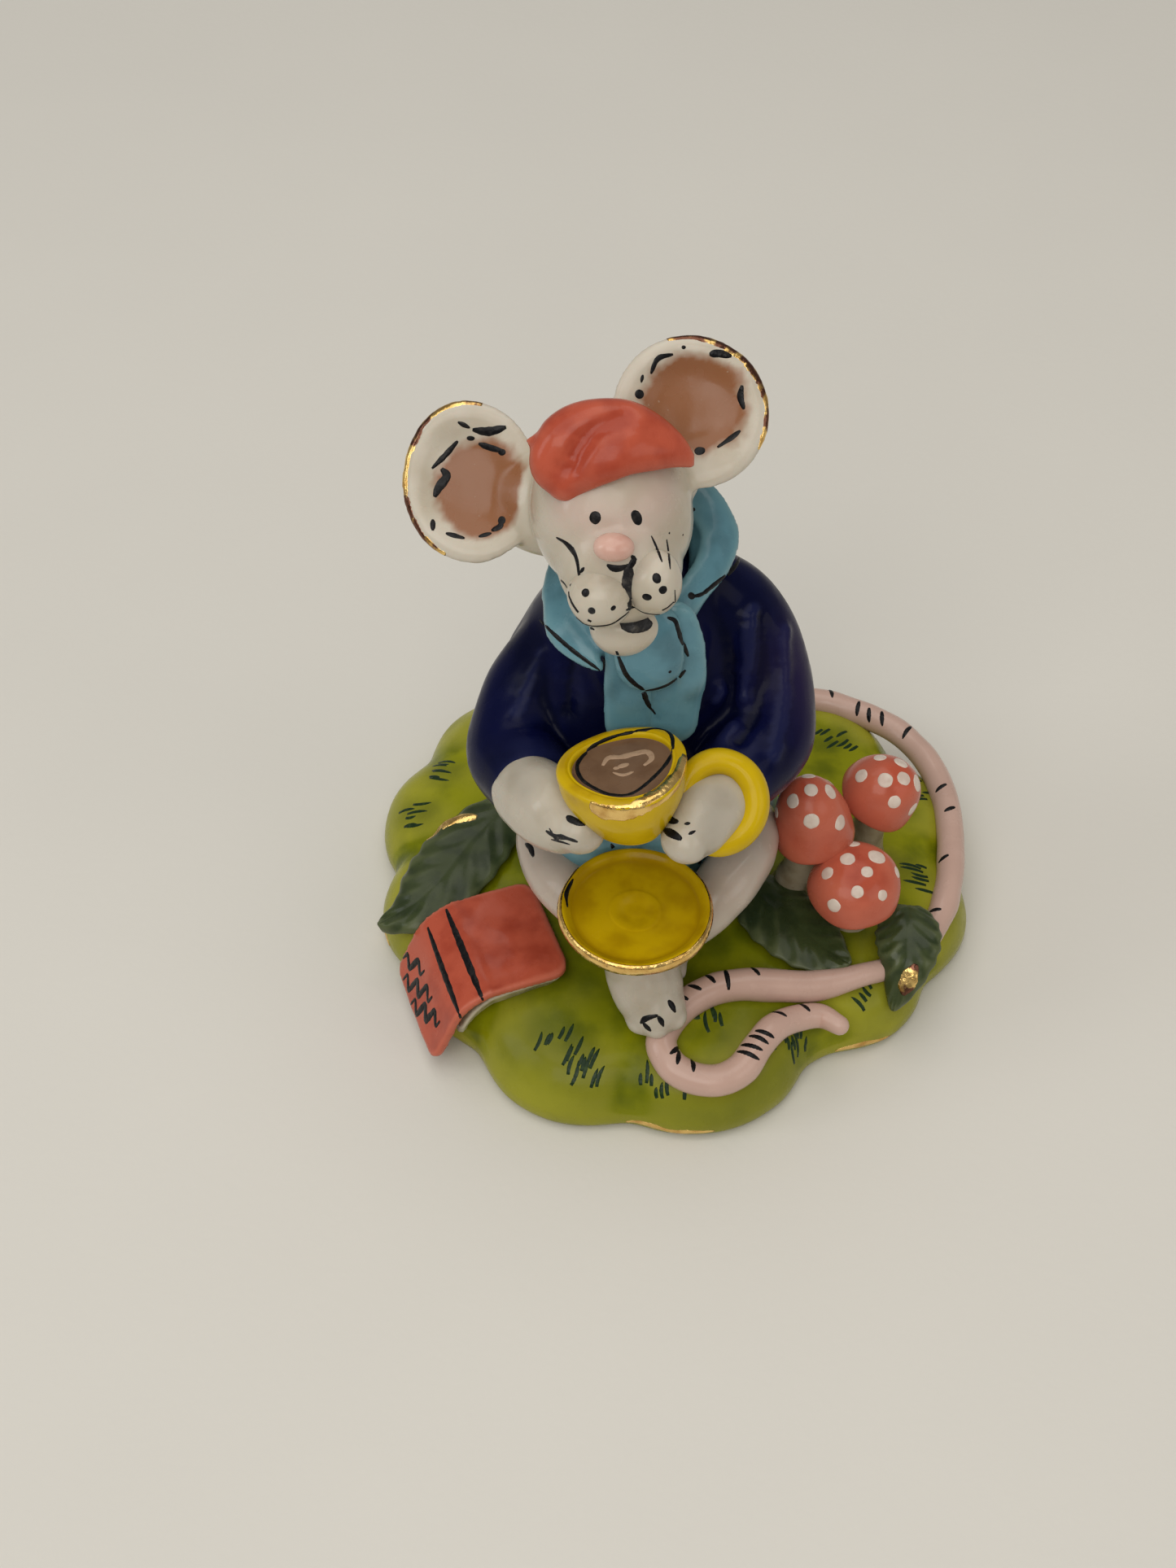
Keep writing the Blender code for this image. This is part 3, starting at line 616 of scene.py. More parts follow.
INK = make_enamel("ink_enamel", (0.004, 0.004, 0.005), (0.022, 0.019, 0.017))
GREY_INK = make_enamel("thin_ink_enamel", (0.018, 0.018, 0.019), (0.10, 0.092, 0.08))
GRASS_INK = make_enamel("grass_enamel", (0.009, 0.028, 0.008), (0.030, 0.062, 0.008))
GOLD = make_gold("gold_lustre", 0.66)
THIN_GOLD = make_gold("thin_gold_lustre", 0.47)


# ---- stage

def make_camera():
    data = bpy.data.cameras.new("camera")
    data.lens = LENS
    data.sensor_width = 36.0
    data.clip_start = 0.01
    camera = bpy.data.objects.new("camera", data)
    camera.location = EYE * MM
    camera.rotation_euler = (math.radians(EYE_PITCH), 0.0, 0.0)
    bpy.context.scene.collection.objects.link(camera)
    bpy.context.scene.camera = camera


def make_floor():
    bm = bmesh.new()
    bmesh.ops.create_grid(bm, x_segments=8, y_segments=8, size=3.0)
    floor = bpy.data.objects.new("floor", mesh_of(bm, "floor"))
    bpy.context.scene.collection.objects.link(floor)
    paper = Glaze("floor_paper")
    paper.colour(paper.mix(paper.mottle(40.0), (0.695, 0.675, 0.620), (0.725, 0.705, 0.647)))
    paper.relief(1.2, 0.3, 0.15)
    paper.set(Roughness=0.7)
    floor.data.materials.append(paper.material)


# Lamps as (name, place, aim, size, watts, colour), in metres.
LAMPS = (
    ("overhead", (-0.05, 0.04, 0.85), (0, 0, 0.04), (0.95, 0.85), 3.4, (1.0, 0.97, 0.92)),
    ("front", (-0.20, -0.75, 0.80), (0, 0, 0.04), (0.9, 0.6), 3.9, (1.0, 0.97, 0.93)),
    ("window", (-0.75, -0.15, 0.50), (0, 0, 0.05), (0.25, 0.5), 0.9, (0.96, 0.98, 1.0)),
    ("fill", (0.65, -0.45, 0.45), (0, 0, 0.04), (0.5, 0.4), 0.7, (1.0, 0.95, 0.9)),
)


def add_lamp(name, place, aim, size, watts, colour):
    data = bpy.data.lights.new(name, "AREA")
    data.shape = "RECTANGLE"
    data.size, data.size_y = size
    data.energy = watts
    data.color = colour
    lamp = bpy.data.objects.new(name, data)
    lamp.location = place
    lamp.rotation_euler = (Vector(aim) - Vector(place)).to_track_quat("-Z", "Y").to_euler()
    bpy.context.scene.collection.objects.link(lamp)


def make_light():
    """A dim pale room, broad soft lamps above and in front, and a small window to the left."""
    world = bpy.data.worlds.new("room")
    world.use_nodes = True
    background = world.node_tree.nodes["Background"]
    background.inputs["Color"].default_value = (1.0, 0.97, 0.93, 1.0)
    background.inputs["Strength"].default_value = 0.25
    bpy.context.scene.world = world
    bpy.context.scene.view_settings.view_transform = "Standard"
    for lamp in LAMPS:
        add_lamp(*lamp)


# ---- the mound

def mound_reach(angle):
    """How far the mound's outline lies from the middle in a direction: the outermost lobe there."""
    blend = 40
    total = MOUND_CORE**blend
    for direction, reach, radius in MOUND_LOBES:
        turn = angle - math.radians(direction)
        middle = reach - radius
        inside = radius**2 - (middle * math.sin(turn))**2
        if inside > 0 and math.cos(turn) > 0:
            total += (middle * math.cos(turn) + math.sqrt(inside))**blend
    return total**(1 / blend)


def mound_height(fraction):
    """The height of the mound's upper surface at a fraction of the way out to its outline."""
    crown = MOUND_HEIGHT - MOUND_CROWN_DROP * fraction**2
    return crown * max(0.0, 1 - fraction**MOUND_FLATNESS)**MOUND_SHOULDER


def mound_top(x, y):
    return mound_height(min(1.0, math.hypot(x, y) / mound_reach(math.atan2(y, x))))


def mound_spot(angle, fraction):
    distance = fraction * mound_reach(angle)
    return Vector((distance * math.cos(angle), distance * math.sin(angle), mound_height(fraction)))


# Tufts of painted grass, as (direction in degrees, share of the way out, strokes).
GRASS_TUFTS = (
    (-115, 0.84, 11), (-110, 0.91, 6), (-94, 0.93, 9), (-65, 0.90, 9), (-62, 0.95, 5), (-83, 0.70, 6),
    (152, 0.86, 7), (166, 0.90, 6), (44, 0.78, 8), (-5, 0.82, 7), (-20, 0.72, 5), (-42, 0.90, 5),
    (22, 0.88, 6), (70, 0.80, 8), (98, 0.84, 9), (124, 0.80, 8), (-160, 0.84, 6),
)

# Painted shade on the mound, where shadow falls inside the tail's loop, about the feet and under the
# front leaf, and along the front that faces away from the light, as (route, reach). Then how far a dark
# wash spreads round each tuft, and how dark the painted shade and the wash both are.
MOUND_SHADES = (
    (((5.0, -30.0, 10.5), (9.0, -27.0, 10.5)), 4.5),
    (((-16.0, -12.0, 11.0), (-12.0, -24.0, 11.0), (2.0, -22.0, 11.0), (20.0, -14.0, 11.0)), 6.0),
    (((-22.0, -30.0, 9.0), (-8.0, -36.0, 6.0), (6.0, -37.0, 5.0), (18.0, -32.0, 8.0)), 4.5),
)
TUFT_WASH_REACH = 2.6
MOUND_DARKENING = 0.4

# The mound's foot ring and hollow underside, as (share of the outline, height) from its edge inwards.
MOUND_UNDERSIDE = (
    (1.0, 1.6), (0.995, 1.0), (0.985, 0.5), (0.965, 0.1), (0.94, 0.0), (0.76, 0.0), (0.74, 0.4), (0.72, 4.5),
    (0.68, 5.3), (0.62, 5.5), (0.35, 5.5), (0.01, 5.5),
)


def make_mound():
    stations = [(math.sin(math.radians(angle)), None) for angle in range(1, 90, 2)]
    bm = bmesh.new()
    rings = []
    for fraction, height in (*stations, *MOUND_UNDERSIDE):
        ring = []
        for angle in circle(300):
            spot = mound_spot(angle, fraction * 0.995)
            if height is not None:
                spot.z = height
            ring.append(spot)
        rings.append(ring)
    loft(bm, rings)
    mesh = mesh_of(bm, "mound")
    points = points_of(mesh)
    foot = points[:, 2] <= 0.6
    knead(mesh, 0.35, 8.0, 2.0)
    kneaded = points_of(mesh)
    kneaded[foot] = points[foot]
    move_points(mesh, kneaded)
    # The shade attribute holds the painted shade along MOUND_SHADES and the dark wash round each tuft.
    shades = list(MOUND_SHADES)
    for direction, share, _ in GRASS_TUFTS:
        angle = math.radians(direction)
        shades.append(((mound_spot(angle, share), mound_spot(angle, share - 0.05)), TUFT_WASH_REACH))
    nearest = np.max([nearness(points, route, reach) for route, reach in shades], axis=0)
    store(mesh, "shade", MOUND_DARKENING * nearest)
    return add_clay("mound_base", mesh, GRASS)


# ---- the body

def make_shorts():
    """The seat and, in front, the two lumps of the lap."""
    bm = bmesh.new()
    ball(bm, (-4.0, 0.5, 21.0), (17.4, 15.5, 14.0))
    ball(bm, (-11.0, -12.5, 28.4), (5.6, 5.0, 4.6))
    ball(bm, (-2.0, -11.5, 28.4), (5.6, 5.0, 4.6))
    return lump_clay("shorts", bm, 0.6, 4, (0.4, 8.0, 5.0), TEAL)


# The jacket's body, as (radius from side to side, height).
JACKET_PROFILE = (
    (0.1, 26.6), (15.5, 27.0), (18.6, 29.5), (19.6, 34.0), (19.0, 40.0), (17.4, 46.0), (15.0, 52.0),
    (12.2, 57.5), (9.8, 62.0), (8.0, 65.0), (0.1, 66.0),
)

# Folds in the jacket: (route, reach, depth), where a negative depth is a ridge.
JACKET_FOLDS = (
    (((8.0, -4.5, 60.0), (6.5, -9.5, 53.5), (3.5, -13.0, 49.5)), 1.1, -0.6),
    (((9.8, -4.5, 59.0), (9.0, -9.5, 52.0), (6.5, -14.0, 48.0)), 1.1, 0.45),
    (((12.0, -3.5, 56.0), (11.5, -9.5, 49.5), (9.5, -14.5, 45.5)), 1.0, -0.55),
    (((-12.5, -4.0, 60.0), (-14.6, -7.5, 54.0), (-15.5, -10.5, 49.0)), 1.2, 0.6),
    (((-17.5, -4.0, 53.0), (-20.5, -8.5, 47.0)), 1.2, -0.4),
    (((-2.0, 14.0, 56.0), (-1.0, 17.0, 44.0)), 1.6, 0.5),
    (((-9.0, 14.0, 55.0), (-11.5, 17.0, 42.0)), 1.6, 0.5),
)


def make_jacket():
    """A bell of a body with a chest and two sleeves blended into it, and folds pressed into that."""
    bm = bmesh.new()
    loft(bm, [[Vector((-5.3 + radius * math.cos(a), 1.5 + 0.8 * radius * math.sin(a), height))
               for a in circle(64)] for radius, height in smooth_path(JACKET_PROFILE, 5)])
    ball(bm, (-5.0, -4.0, 53.5), (8.5, 7.4, 11.0))
    roll(bm, ((-10.8, 1.0, 57.0, 4.5), (-14.6, 0.2, 51.4, 5.5), (-19.0, -3.0, 44.5, 6.4),
              (-21.0, -9.0, 40.8, 6.3), (-19.2, -14.4, 41.4, 5.6)), up=(1, 0, 0))
    roll(bm, ((2.0, 1.2, 59.4, 5.1), (6.2, 0.4, 54.6, 6.3), (9.0, -2.8, 47.4, 6.7), (9.4, -8.6, 43.0, 6.4),
              (6.4, -13.8, 42.6, 5.7)), up=(1, 0, 0))
    mesh = skin(bm, "jacket", 0.5, 8)
    for route, reach, depth in JACKET_FOLDS:
        press(mesh, route, reach, depth)
    knead(mesh, 0.3, 7.0, 9.0)
    # A painted sheen lightens the outer side of the mouse's left sleeve.
    sleeve_side = ((13.5, -3.0, 52.0), (14.5, -8.0, 44.0), (12.0, -11.0, 38.0))
    store(mesh, "sleeve_sheen", 0.5 * nearness(points_of(mesh), sleeve_side, 5.0))
    return add_clay("jacket", mesh, NAVY, "jacket_body", "sleeve_right", "sleeve_left")


# The knees are flushed within this reach of this height; legs and paws get a little painted shade all over.
KNEE_HEIGHT = 27
KNEE_REACH = 4
LEG_SHADE = 0.12
PAW_SHADE = 0.1


def make_leg(side, shin, foot, toes):
    """A shin and a foot as rolls, with its toes as (x, y, z, radius)."""
    bm = bmesh.new()
    roll(bm, shin, up=(1, 0, 0))
    roll(bm, foot, up=(1, 0, 0))
    for toe in toes:
        ball(bm, toe[:3], (toe[3], toe[3] * 1.3, toe[3]))
    mesh = skin(bm, "leg", 0.4, 8)
    knead(mesh, 0.25, 5.0, 3.0 + len(toes))
    store(mesh, "flush", 0.35 * np.exp(-((points_of(mesh)[:, 2] - KNEE_HEIGHT) / KNEE_REACH)**2))
    # Painted shade greys the whole leg a little.
    store(mesh, "grey_shading", np.full(len(mesh.vertices), LEG_SHADE))
    return add_clay("leg_" + side, mesh, WHITE, "leg_" + side, "foot_" + side)


def make_legs():
    right = make_leg(
        "right",
        ((-15.6, -4.0, 23.0, 3.8), (-17.8, -9.5, 24.6, 3.7), (-16.2, -16.0, 25.4, 3.6),
         (-12.3, -21.5, 25.2, 3.5), (-8.0, -24.4, 22.4, 3.6), (-5.8, -24.8, 18.4, 4.2)),
        ((-5.6, -24.0, 18.4, 4.6), (-5.0, -25.2, 16.8, 4.8), (-4.2, -27.0, 15.2, 4.6),
         (-3.5, -28.4, 14.2, 4.0)),
        ((-5.6, -29.6, 13.4, 1.7), (-3.3, -30.4, 13.4, 1.8), (-1.1, -29.6, 13.8, 1.7)))
    left = make_leg(
        "left",
        ((8.6, -3.5, 23.0, 3.8), (8.8, -9.0, 24.6, 4.0), (6.8, -14.8, 24.8, 4.0), (3.4, -19.0, 23.4, 3.8),
         (-0.4, -20.4, 20.0, 3.3), (-1.8, -19.8, 17.0, 3.0)),
        ((-1.8, -19.6, 16.6, 3.3), (-1.5, -20.6, 15.4, 3.1), (-1.2, -21.2, 14.6, 2.7),
         (-1.0, -21.6, 14.0, 1.8)),
        ((-1.8, -22.2, 13.4, 1.1), (-0.4, -22.0, 13.4, 1.1)))
    return right, left


def make_paw(side, palm, grey_shading):
    """A mitten of a paw, soft all round, with no fingers modelled, greyed by painted shade and more along a
    route.
    """
    bm = bmesh.new()
    roll(bm, palm, up=(0, -0.7, 0.7), flat=0.92)
    mesh = skin(bm, "paw", 0.32, 6)
    knead(mesh, 0.3, 4.0, 6.0)
    # Painted shade greys the whole paw a little, and a little more along the route.
    store(mesh, "grey_shading", PAW_SHADE + 0.14 * nearness(points_of(mesh), grey_shading, 1.6))
    return add_clay("paw_" + side, mesh, WHITE)


def make_paws():
    right = make_paw(
        "right",
        ((-19.6, -14.2, 41.6, 4.2), (-19.0, -17.4, 42.6, 4.8), (-17.2, -21.0, 44.2, 4.9),
         (-14.6, -24.4, 44.8, 4.3), (-13.2, -26.0, 45.2, 3.2)),
        ((-20.5, -20.0, 46.5), (-19.0, -21.5, 46.5)))
    left = make_paw(
        "left",
        ((6.2, -13.6, 42.8, 4.0), (5.2, -17.6, 43.6, 4.3), (3.2, -21.6, 44.8, 4.4), (0.8, -25.4, 45.4, 3.9),
         (-0.6, -28.0, 45.6, 3.1)),
        ((3.5, -24.0, 48.5), (1.5, -27.0, 47.0)))
    return right, left


# ---- the head

def ear_dish(bm, place, radii, tilt, root):
    """A shallow dish opening along its own +Z. Its broad lip sinks into the head on the root's side."""
    section = ((0.02, -0.9), (0.35, -0.8), (0.56, -0.4), (0.7, 0.15), (0.84, 0.5), (0.95, 0.3), (1.0, -0.3),
               (0.97, -0.9), (0.8, -1.9), (0.5, -2.8), (0.25, -3.2), (0.02, -3.3))
    matrix = placed(place, tilt)
    rings = []
    for fraction, height in smooth_path(section, 4):
        ring = []
        for a in circle(80):
            sunk = max(0.0, math.cos(a - math.radians(root)))
            level = height - sunk * max(0.0, height + 0.4)
            ring.append(round_spot(matrix, (radii[0] * fraction, radii[1] * fraction), a, level))
        rings.append(ring)
    loft(bm, rings)


def ear_share(points, ear, blush):
    """How far out across an ear's blush each point lies: 0 in the middle, 1 at its edge."""
    inverse = np.array(placed(ear[0], ear[2]).inverted())
    local = points @ inverse[:3, :3].T + inverse[:3, 3]
    (x, y), (across, up) = blush
    share = np.hypot((local[:, 0] - x) / across, (local[:, 1] - y) / up)
    share += 0.5 * np.maximum(0.0, local[:, 2] - 0.5)
    share[local[:, 2] < BLUSH_DEPTH] = 9.0
    return share


def make_head():
    """The skull, brow, bridge and back of the head, and two ears that grow out of it on broad roots."""
    bm = bmesh.new()
    ball(bm, (-9.4, -5.0, 76.4), (9.4, 9.8, 10.4), HEAD_TILT)
    ball(bm, (-8.6, -10.6, 73.6), (7.2, 7.0, 8.0), (20, -14, 0))
    ball(bm, (-7.8, -15.4, 74.8), (1.8, 2.8, 3.0))
    ball(bm, (-9.6, -1.2, 77.4), (8.8, 6.8, 7.4))
    ball(bm, (-10.6, -0.6, 72.8), (7.8, 6.2, 6.0))
    ear_dish(bm, *EAR_RIGHT, EAR_RIGHT_ROOT)
    ear_dish(bm, *EAR_LEFT, EAR_LEFT_ROOT)
    roll(bm, ((-22.2, 3.4, 72.6, 5.6), (-18.0, 1.2, 73.4, 6.8), (-12.5, -1.0, 74.5, 7.6)),
         up=(-0.14, -0.72, 0.68), flat=0.62)
    roll(bm, ((-2.9, 2.8, 81.4, 5.6), (-4.8, 1.0, 79.6, 6.8), (-7.5, -1.5, 77.5, 7.6)),
         up=(0.07, -0.72, 0.69), flat=0.62)
    mesh = skin(bm, "head", 0.36, 16)
    knead(mesh, 0.2, 5.0, 1.0)
    points = points_of(mesh)
    blush = np.zeros(len(points))
    patchy = np.array([0.12 * noise.noise(Vector(point) / 2.2) + 0.06 * noise.noise(Vector(point) / 0.7)
                       for point in points])
    for ear, patch in ((EAR_RIGHT, BLUSH_RIGHT), (EAR_LEFT, BLUSH_LEFT)):
        blush = np.maximum(blush, np.clip((1.04 - ear_share(points, ear, patch) - patchy) / 0.2, 0, 1))
    store(mesh, "blush", blush * 0.92)
    brow = ((-14.0, -11.0, 81.5), (-8.0, -14.5, 82.0), (-2.0, -11.5, 84.0))
    store(mesh, "flush", 0.55 * nearness(points, brow, 3.0))
    return add_clay("head", mesh, WHITE, "head", "ear_right", "ear_left")


def make_muzzle():
    pieces = []
    for name, place, radii, tilt in (
            ("whisker_pad_right", (-10.7, -16.5, 73.6), (3.8, 3.6, 3.6), (0, 0, 0)),
            ("whisker_pad_left", (-4.7, -16.1, 75.2), (3.1, 3.4, 3.9), (0, 8, 0)),
            ("chin", (-7.6, -13.4, 66.2), (4.3, 3.6, 3.4), HEAD_TILT)):
        bm = bmesh.new()
        ball(bm, place, radii, tilt)
        pieces.append(lump_clay(name, bm, 0.25, 4, (0.2, 4.0, 4.0), WHITE))
    bm = bmesh.new()
    ball(bm, (-9.3, -16.9, 81.1), (2.25, 1.8, 1.55))
    pieces.append(lump_clay("nose", bm, 0.2, 4, (0.12, 2.5, 2.0), NOSE_PINK))
    return pieces


def make_cap():
    """A soft cap pulled to one side: a crown, and a fold of it that hangs forward as its peak."""
    toward_eye = (0, -0.7, 0.7)
    bm = bmesh.new()
    roll(bm, ((-18.6, -6.2, 87.3, 0.4), (-16.8, -6.4, 87.2, 2.0), (-13.1, -5.6, 88.2, 3.2),
              (-9.2, -5.2, 88.5, 3.2), (-5.5, -5.3, 87.6, 2.6), (-2.6, -5.9, 86.4, 1.5),
              (-0.9, -6.5, 85.4, 0.7)), up=toward_eye)
    roll(bm, ((-14.8, -7.1, 87.3, 3.2), (-15.7, -8.2, 85.6, 2.9), (-14.6, -9.3, 84.1, 2.3)),
         up=toward_eye, flat=0.8)
    roll(bm, ((-14.6, -9.5, 83.7, 1.9), (-13.2, -9.7, 85.7, 2.5), (-10.8, -9.3, 87.3, 3.0),
              (-8.2, -8.5, 87.9, 3.0), (-5.4, -7.8, 87.4, 2.6), (-2.8, -7.2, 86.3, 1.8),
              (-0.5, -6.9, 84.5, 0.5)), up=toward_eye, flat=0.62)
    mesh = skin(bm, "cap", 0.3, 14)
    crease = ((-8.0, -7.0, 91.8), (-11.2, -8.5, 91.0), (-13.2, -9.8, 89.6), (-14.2, -11.0, 87.0))
    press(mesh, crease, 1.1, 0.6)
    knead(mesh, 0.25, 5.0, 8.0)
    return add_clay("cap", mesh, CORAL, "cap_crown", "cap_peak")


def make_scarf():
    """A ring round the neck with a collar's wing on each side, then the knot and both hanging ends."""
    bm = bmesh.new()
    roll(bm, ((-6.0, 5.6, 67.4, 3.0), (1.0, 2.2, 68.0, 2.4), (1.2, -4.6, 66.0, 1.7), (-3.4, -10.6, 63.4, 2.3),
              (-9.8, -10.6, 61.8, 2.4), (-13.6, -6.0, 62.4, 2.5), (-13.0, 2.0, 64.4, 2.8)), closed=True)
    roll(bm, ((-6.5, 7.0, 70.2, 2.6), (-0.2, 4.0, 71.6, 2.6), (3.2, 0.2, 69.3, 2.7), (2.6, -3.5, 67.2, 2.4),
              (-0.4, -8.3, 66.2, 2.1), (-3.6, -11.9, 64.8, 2.2)), up=(0.42, -0.62, 0.66), flat=0.42)
    roll(bm, ((-6.5, 7.0, 69.6, 2.6), (-12.6, 3.4, 66.2, 2.2), (-15.6, -2.5, 63.6, 2.0),
              (-15.6, -7.0, 62.7, 1.9), (-15.0, -10.2, 62.2, 2.0), (-12.9, -12.6, 61.4, 1.8),
              (-10.8, -14.2, 60.4, 0.8)), up=(-0.36, -0.64, 0.68), flat=0.5)
    pieces = [lump_clay("scarf_wrap", bm, 0.4, 7, (0.25, 5.0, 7.0), TEAL)]
    for name, voxel, up, flat, route in (
            ("knot", 0.3, (0, -0.9, 0.44), 0.42, ((-5.3, -14.1, 65.4, 4.2), (-4.9, -14.9, 61.8, 4.1))),
            ("end_right", 0.35, (0, -1, 0.1), 0.4,
             ((-7.4, -13.2, 63.0, 2.8), (-7.3, -13.7, 57.0, 3.0), (-7.1, -14.0, 50.5, 3.0))),
            ("end_left", 0.35, (0, -1, 0.1), 0.4,
             ((-2.4, -12.6, 65.5, 3.3), (-1.6, -13.4, 59.0, 3.5), (-2.0, -14.0, 51.0, 3.2)))):
        bm = bmesh.new()
        roll(bm, route, up=up, flat=flat)
        pieces.append(lump_clay("scarf_" + name, bm, voxel, 5, (0.25, 4.0, 5.0), TEAL))
    return pieces


# ---- the tea things

def lip_wobble(angle):
    """The cup was pinched by hand, so that its mouth is a round-cornered triangle."""
    return 1 + 0.05 * math.cos(3 * angle - 2.6) + 0.02 * math.sin(2 * angle + 0.6)


def make_cup():
    """The cup from inside to foot, and the coffee that fills it."""
    rim = CUP_RIM_RADIUS
    foot = CUP_FOOT_RADIUS
    wall = CUP_WALL
    high = CUP_HEIGHT
    matrix = placed(*CUP_PLACE)
    bm = bmesh.new()
    turned(bm, ((0.0, 1.3), (foot - 1.2, 1.4), (rim - wall - 0.7, 4.2), (rim - wall, high - 0.5),
                (rim - wall * 0.75, high - 0.1), (rim - wall / 2, high), (rim - 0.1, high - 0.35),
                (rim, high - 1.2), (rim - 0.5, 4.6), (foot + 0.9, 1.2), (foot + 0.2, 0.4), (foot, 0.0),
                (foot - 0.6, 0.05), (0.0, 0.2)), matrix, wobble=lip_wobble)
    mesh = mesh_of(bm, "cup")
    knead(mesh, 0.12, 4.0, 3.0)
    cup = add_clay("cup", mesh, YELLOW)
    level = high - COFFEE_DEPTH
    bm = bmesh.new()
    turned(bm, ((0.0, level), (3.0, level), (rim - wall - 0.5, level - 0.02),
                (rim - wall + 0.1, level + 0.12), (rim - wall + 0.1, level - 0.6), (rim - wall - 0.8, 4.4),
                (foot - 1.0, 2.0), (0.0, 1.8)), matrix, wobble=lip_wobble)
    return cup, add_clay("coffee", mesh_of(bm, "coffee"), COFFEE)


def make_handle():
    bm = bmesh.new()
    matrix = placed(*HANDLE_PLACE)
    stops = [(*round_spot(matrix, HANDLE_RADII, angle), HANDLE_THICKNESS * (1 + 0.08 * math.cos(angle)))
             for angle in circle(12)]
    roll(bm, stops, closed=True, up=matrix.to_3x3() @ Vector((0, 0, 1)))
    mesh = mesh_of(bm, "handle")
    knead(mesh, 0.12, 4.0, 8.0)
    add_clay("cup_handle", mesh, YELLOW)


def make_saucer():
    """A flat dish with a ring in its middle for the cup to stand in, and a thick rim."""
    edge = SAUCER_RADIUS
    bm = bmesh.new()
    turned(bm, ((0.0, 1.15), (1.3, 1.15), (2.3, 1.36), (3.0, 1.42), (3.8, 1.32), (edge - 2.2, 1.4),
                (edge - 1.3, 1.7), (edge - 0.7, 2.2), (edge - 0.25, 2.25), (edge, 1.8), (edge - 0.02, 1.0),
                (edge - 0.5, 0.35), (edge - 2.0, 0.1), (edge - 4.6, 0.0), (0.0, 0.05)),
           placed(*SAUCER_PLACE), steps=120)
    mesh = mesh_of(bm, "saucer")
    knead(mesh, 0.18, 5.0, 2.0)
    return add_clay("saucer", mesh, YELLOW)


# ---- the book

def sheet(bm, section, length, corner, thickness, ripple):
    """A thick sheet of the book bent along section, (across, up) points, with rounded outer corners."""
    matrix = placed(*BOOK_PLACE)
    path = smooth_path(section, 8)
    run = [0.0]
    for first, second in zip(path, path[1:]):
        run.append(run[-1] + (second - first).length)
    rings = []
    last = len(path) - 1
    steps = 40
    for index, (spot, gone) in enumerate(zip(path, run)):
        along = (path[min(index + 1, last)] - path[max(index - 1, 0)]).normalized()
        out = Vector((-along.y, along.x))
        edge = min(gone, run[-1] - gone)
        inset = corner - math.sqrt(max(0.0, corner**2 - max(0.0, corner - edge)**2)) if edge < corner else 0.0
        thick = thickness * (1.0 if edge > thickness / 2 else 0.45 + 1.1 * edge / thickness)
        half = length / 2 - inset
        ring = []
        for side in (1, -1):
            for step in range(steps + 1):
                v = side * (-half + 2 * half * step / steps)
                lift = side * thick / 2 + ripple * noise.noise(Vector((spot.x / 4, v / 4, 3.0)))
                ring.append(matrix @ Vector((spot.x + out.x * lift, v, spot.y + out.y * lift)))
        rings.append(ring)
    loft(bm, rings)


def make_book():
    """A cover bent over the mound's edge at its spine, with a few thick leaves under it."""
    top = BOOK_TOP - COVER_THICKNESS / 2
    right = BOOK_PANEL
    spine = -BOOK_SPINE
    bm = bmesh.new()
    sheet(bm, ((right, top + 0.1), (7.0, top + 0.1), (2.0, top), (0.2, top - 0.2), (spine, top - 2.2),
               (spine - 2.2, top - 6.6), (spine - 4.2, 2.0)), BOOK_LENGTH, 2.4, COVER_THICKNESS, 0.25)
    cover = add_clay("book_cover", skin(bm, "book_cover", 0.3, 5), CORAL)
    bm = bmesh.new()
    for leaf in range(6):
        under = top - COVER_THICKNESS / 2 - 0.25 - 0.42 * leaf
        reach = right - 0.7 - 0.25 * leaf
        sheet(bm, ((reach, under + 0.2 - 0.1 * leaf), (6.0, under + 0.1), (2.0, under - 0.1),
                   (0.6, under - 0.5), (spine + 1.4, under - 2.6), (spine - 0.4, under - 5.6)),
              BOOK_LENGTH - 0.6 - 0.4 * leaf, 1.6, 0.5, 0.5)
    add_clay("book_pages", skin(bm, "book_pages", 0.26, 2), PAPER)
    return cover


# ---- leaves, toadstools and tail

def make_leaf(name, spine, half_width, seed):
    """A pointed leaf along its spine: a fold down the middle, side veins and a wavy edge."""
    path = smooth_path(spine, 16)
    count = len(path) - 1
    columns = 15
    veins = 6.5
    slant = 1.6
    waves = 7
    rings = []
    for index, middle in enumerate(path):
        t = index / count
        along = (path[min(index + 1, count)] - path[max(index - 1, 0)]).normalized()
        sideways = along.cross(Vector((0, 0, 1))).normalized()
        out = sideways.cross(along)
        width = half_width * (0.12 + 0.88 * math.sin(math.pi * min(1.0, 0.12 + 0.88 * t)**0.9)**0.8)
        upper = []
        lower = []
        for column in range(-columns, columns + 1):
            side = column / columns
            vein = math.cos(2 * math.pi * (veins * t - slant * abs(side)))
            lift = 0.5 * abs(side)**0.8 - 0.9 * side**2 + 0.07 * vein * min(1.0, 3 * abs(side))
            lift += 0.5 * noise.noise(Vector((t * 3, side * 1.4, seed)))
            edge = 1 + 0.03 * math.cos(2 * math.pi * (waves * t + seed))
            spot = middle + sideways * width * edge * side + out * lift
            thick = 0.5 * math.sqrt(max(0.02, 1 - side**4))
            upper.append(spot + out * thick)
            lower.append(spot - out * thick)
        rings.append(upper + lower[::-1])
    bm = bmesh.new()
    loft(bm, rings)
    return add_clay(name, mesh_of(bm, name), LEAF)


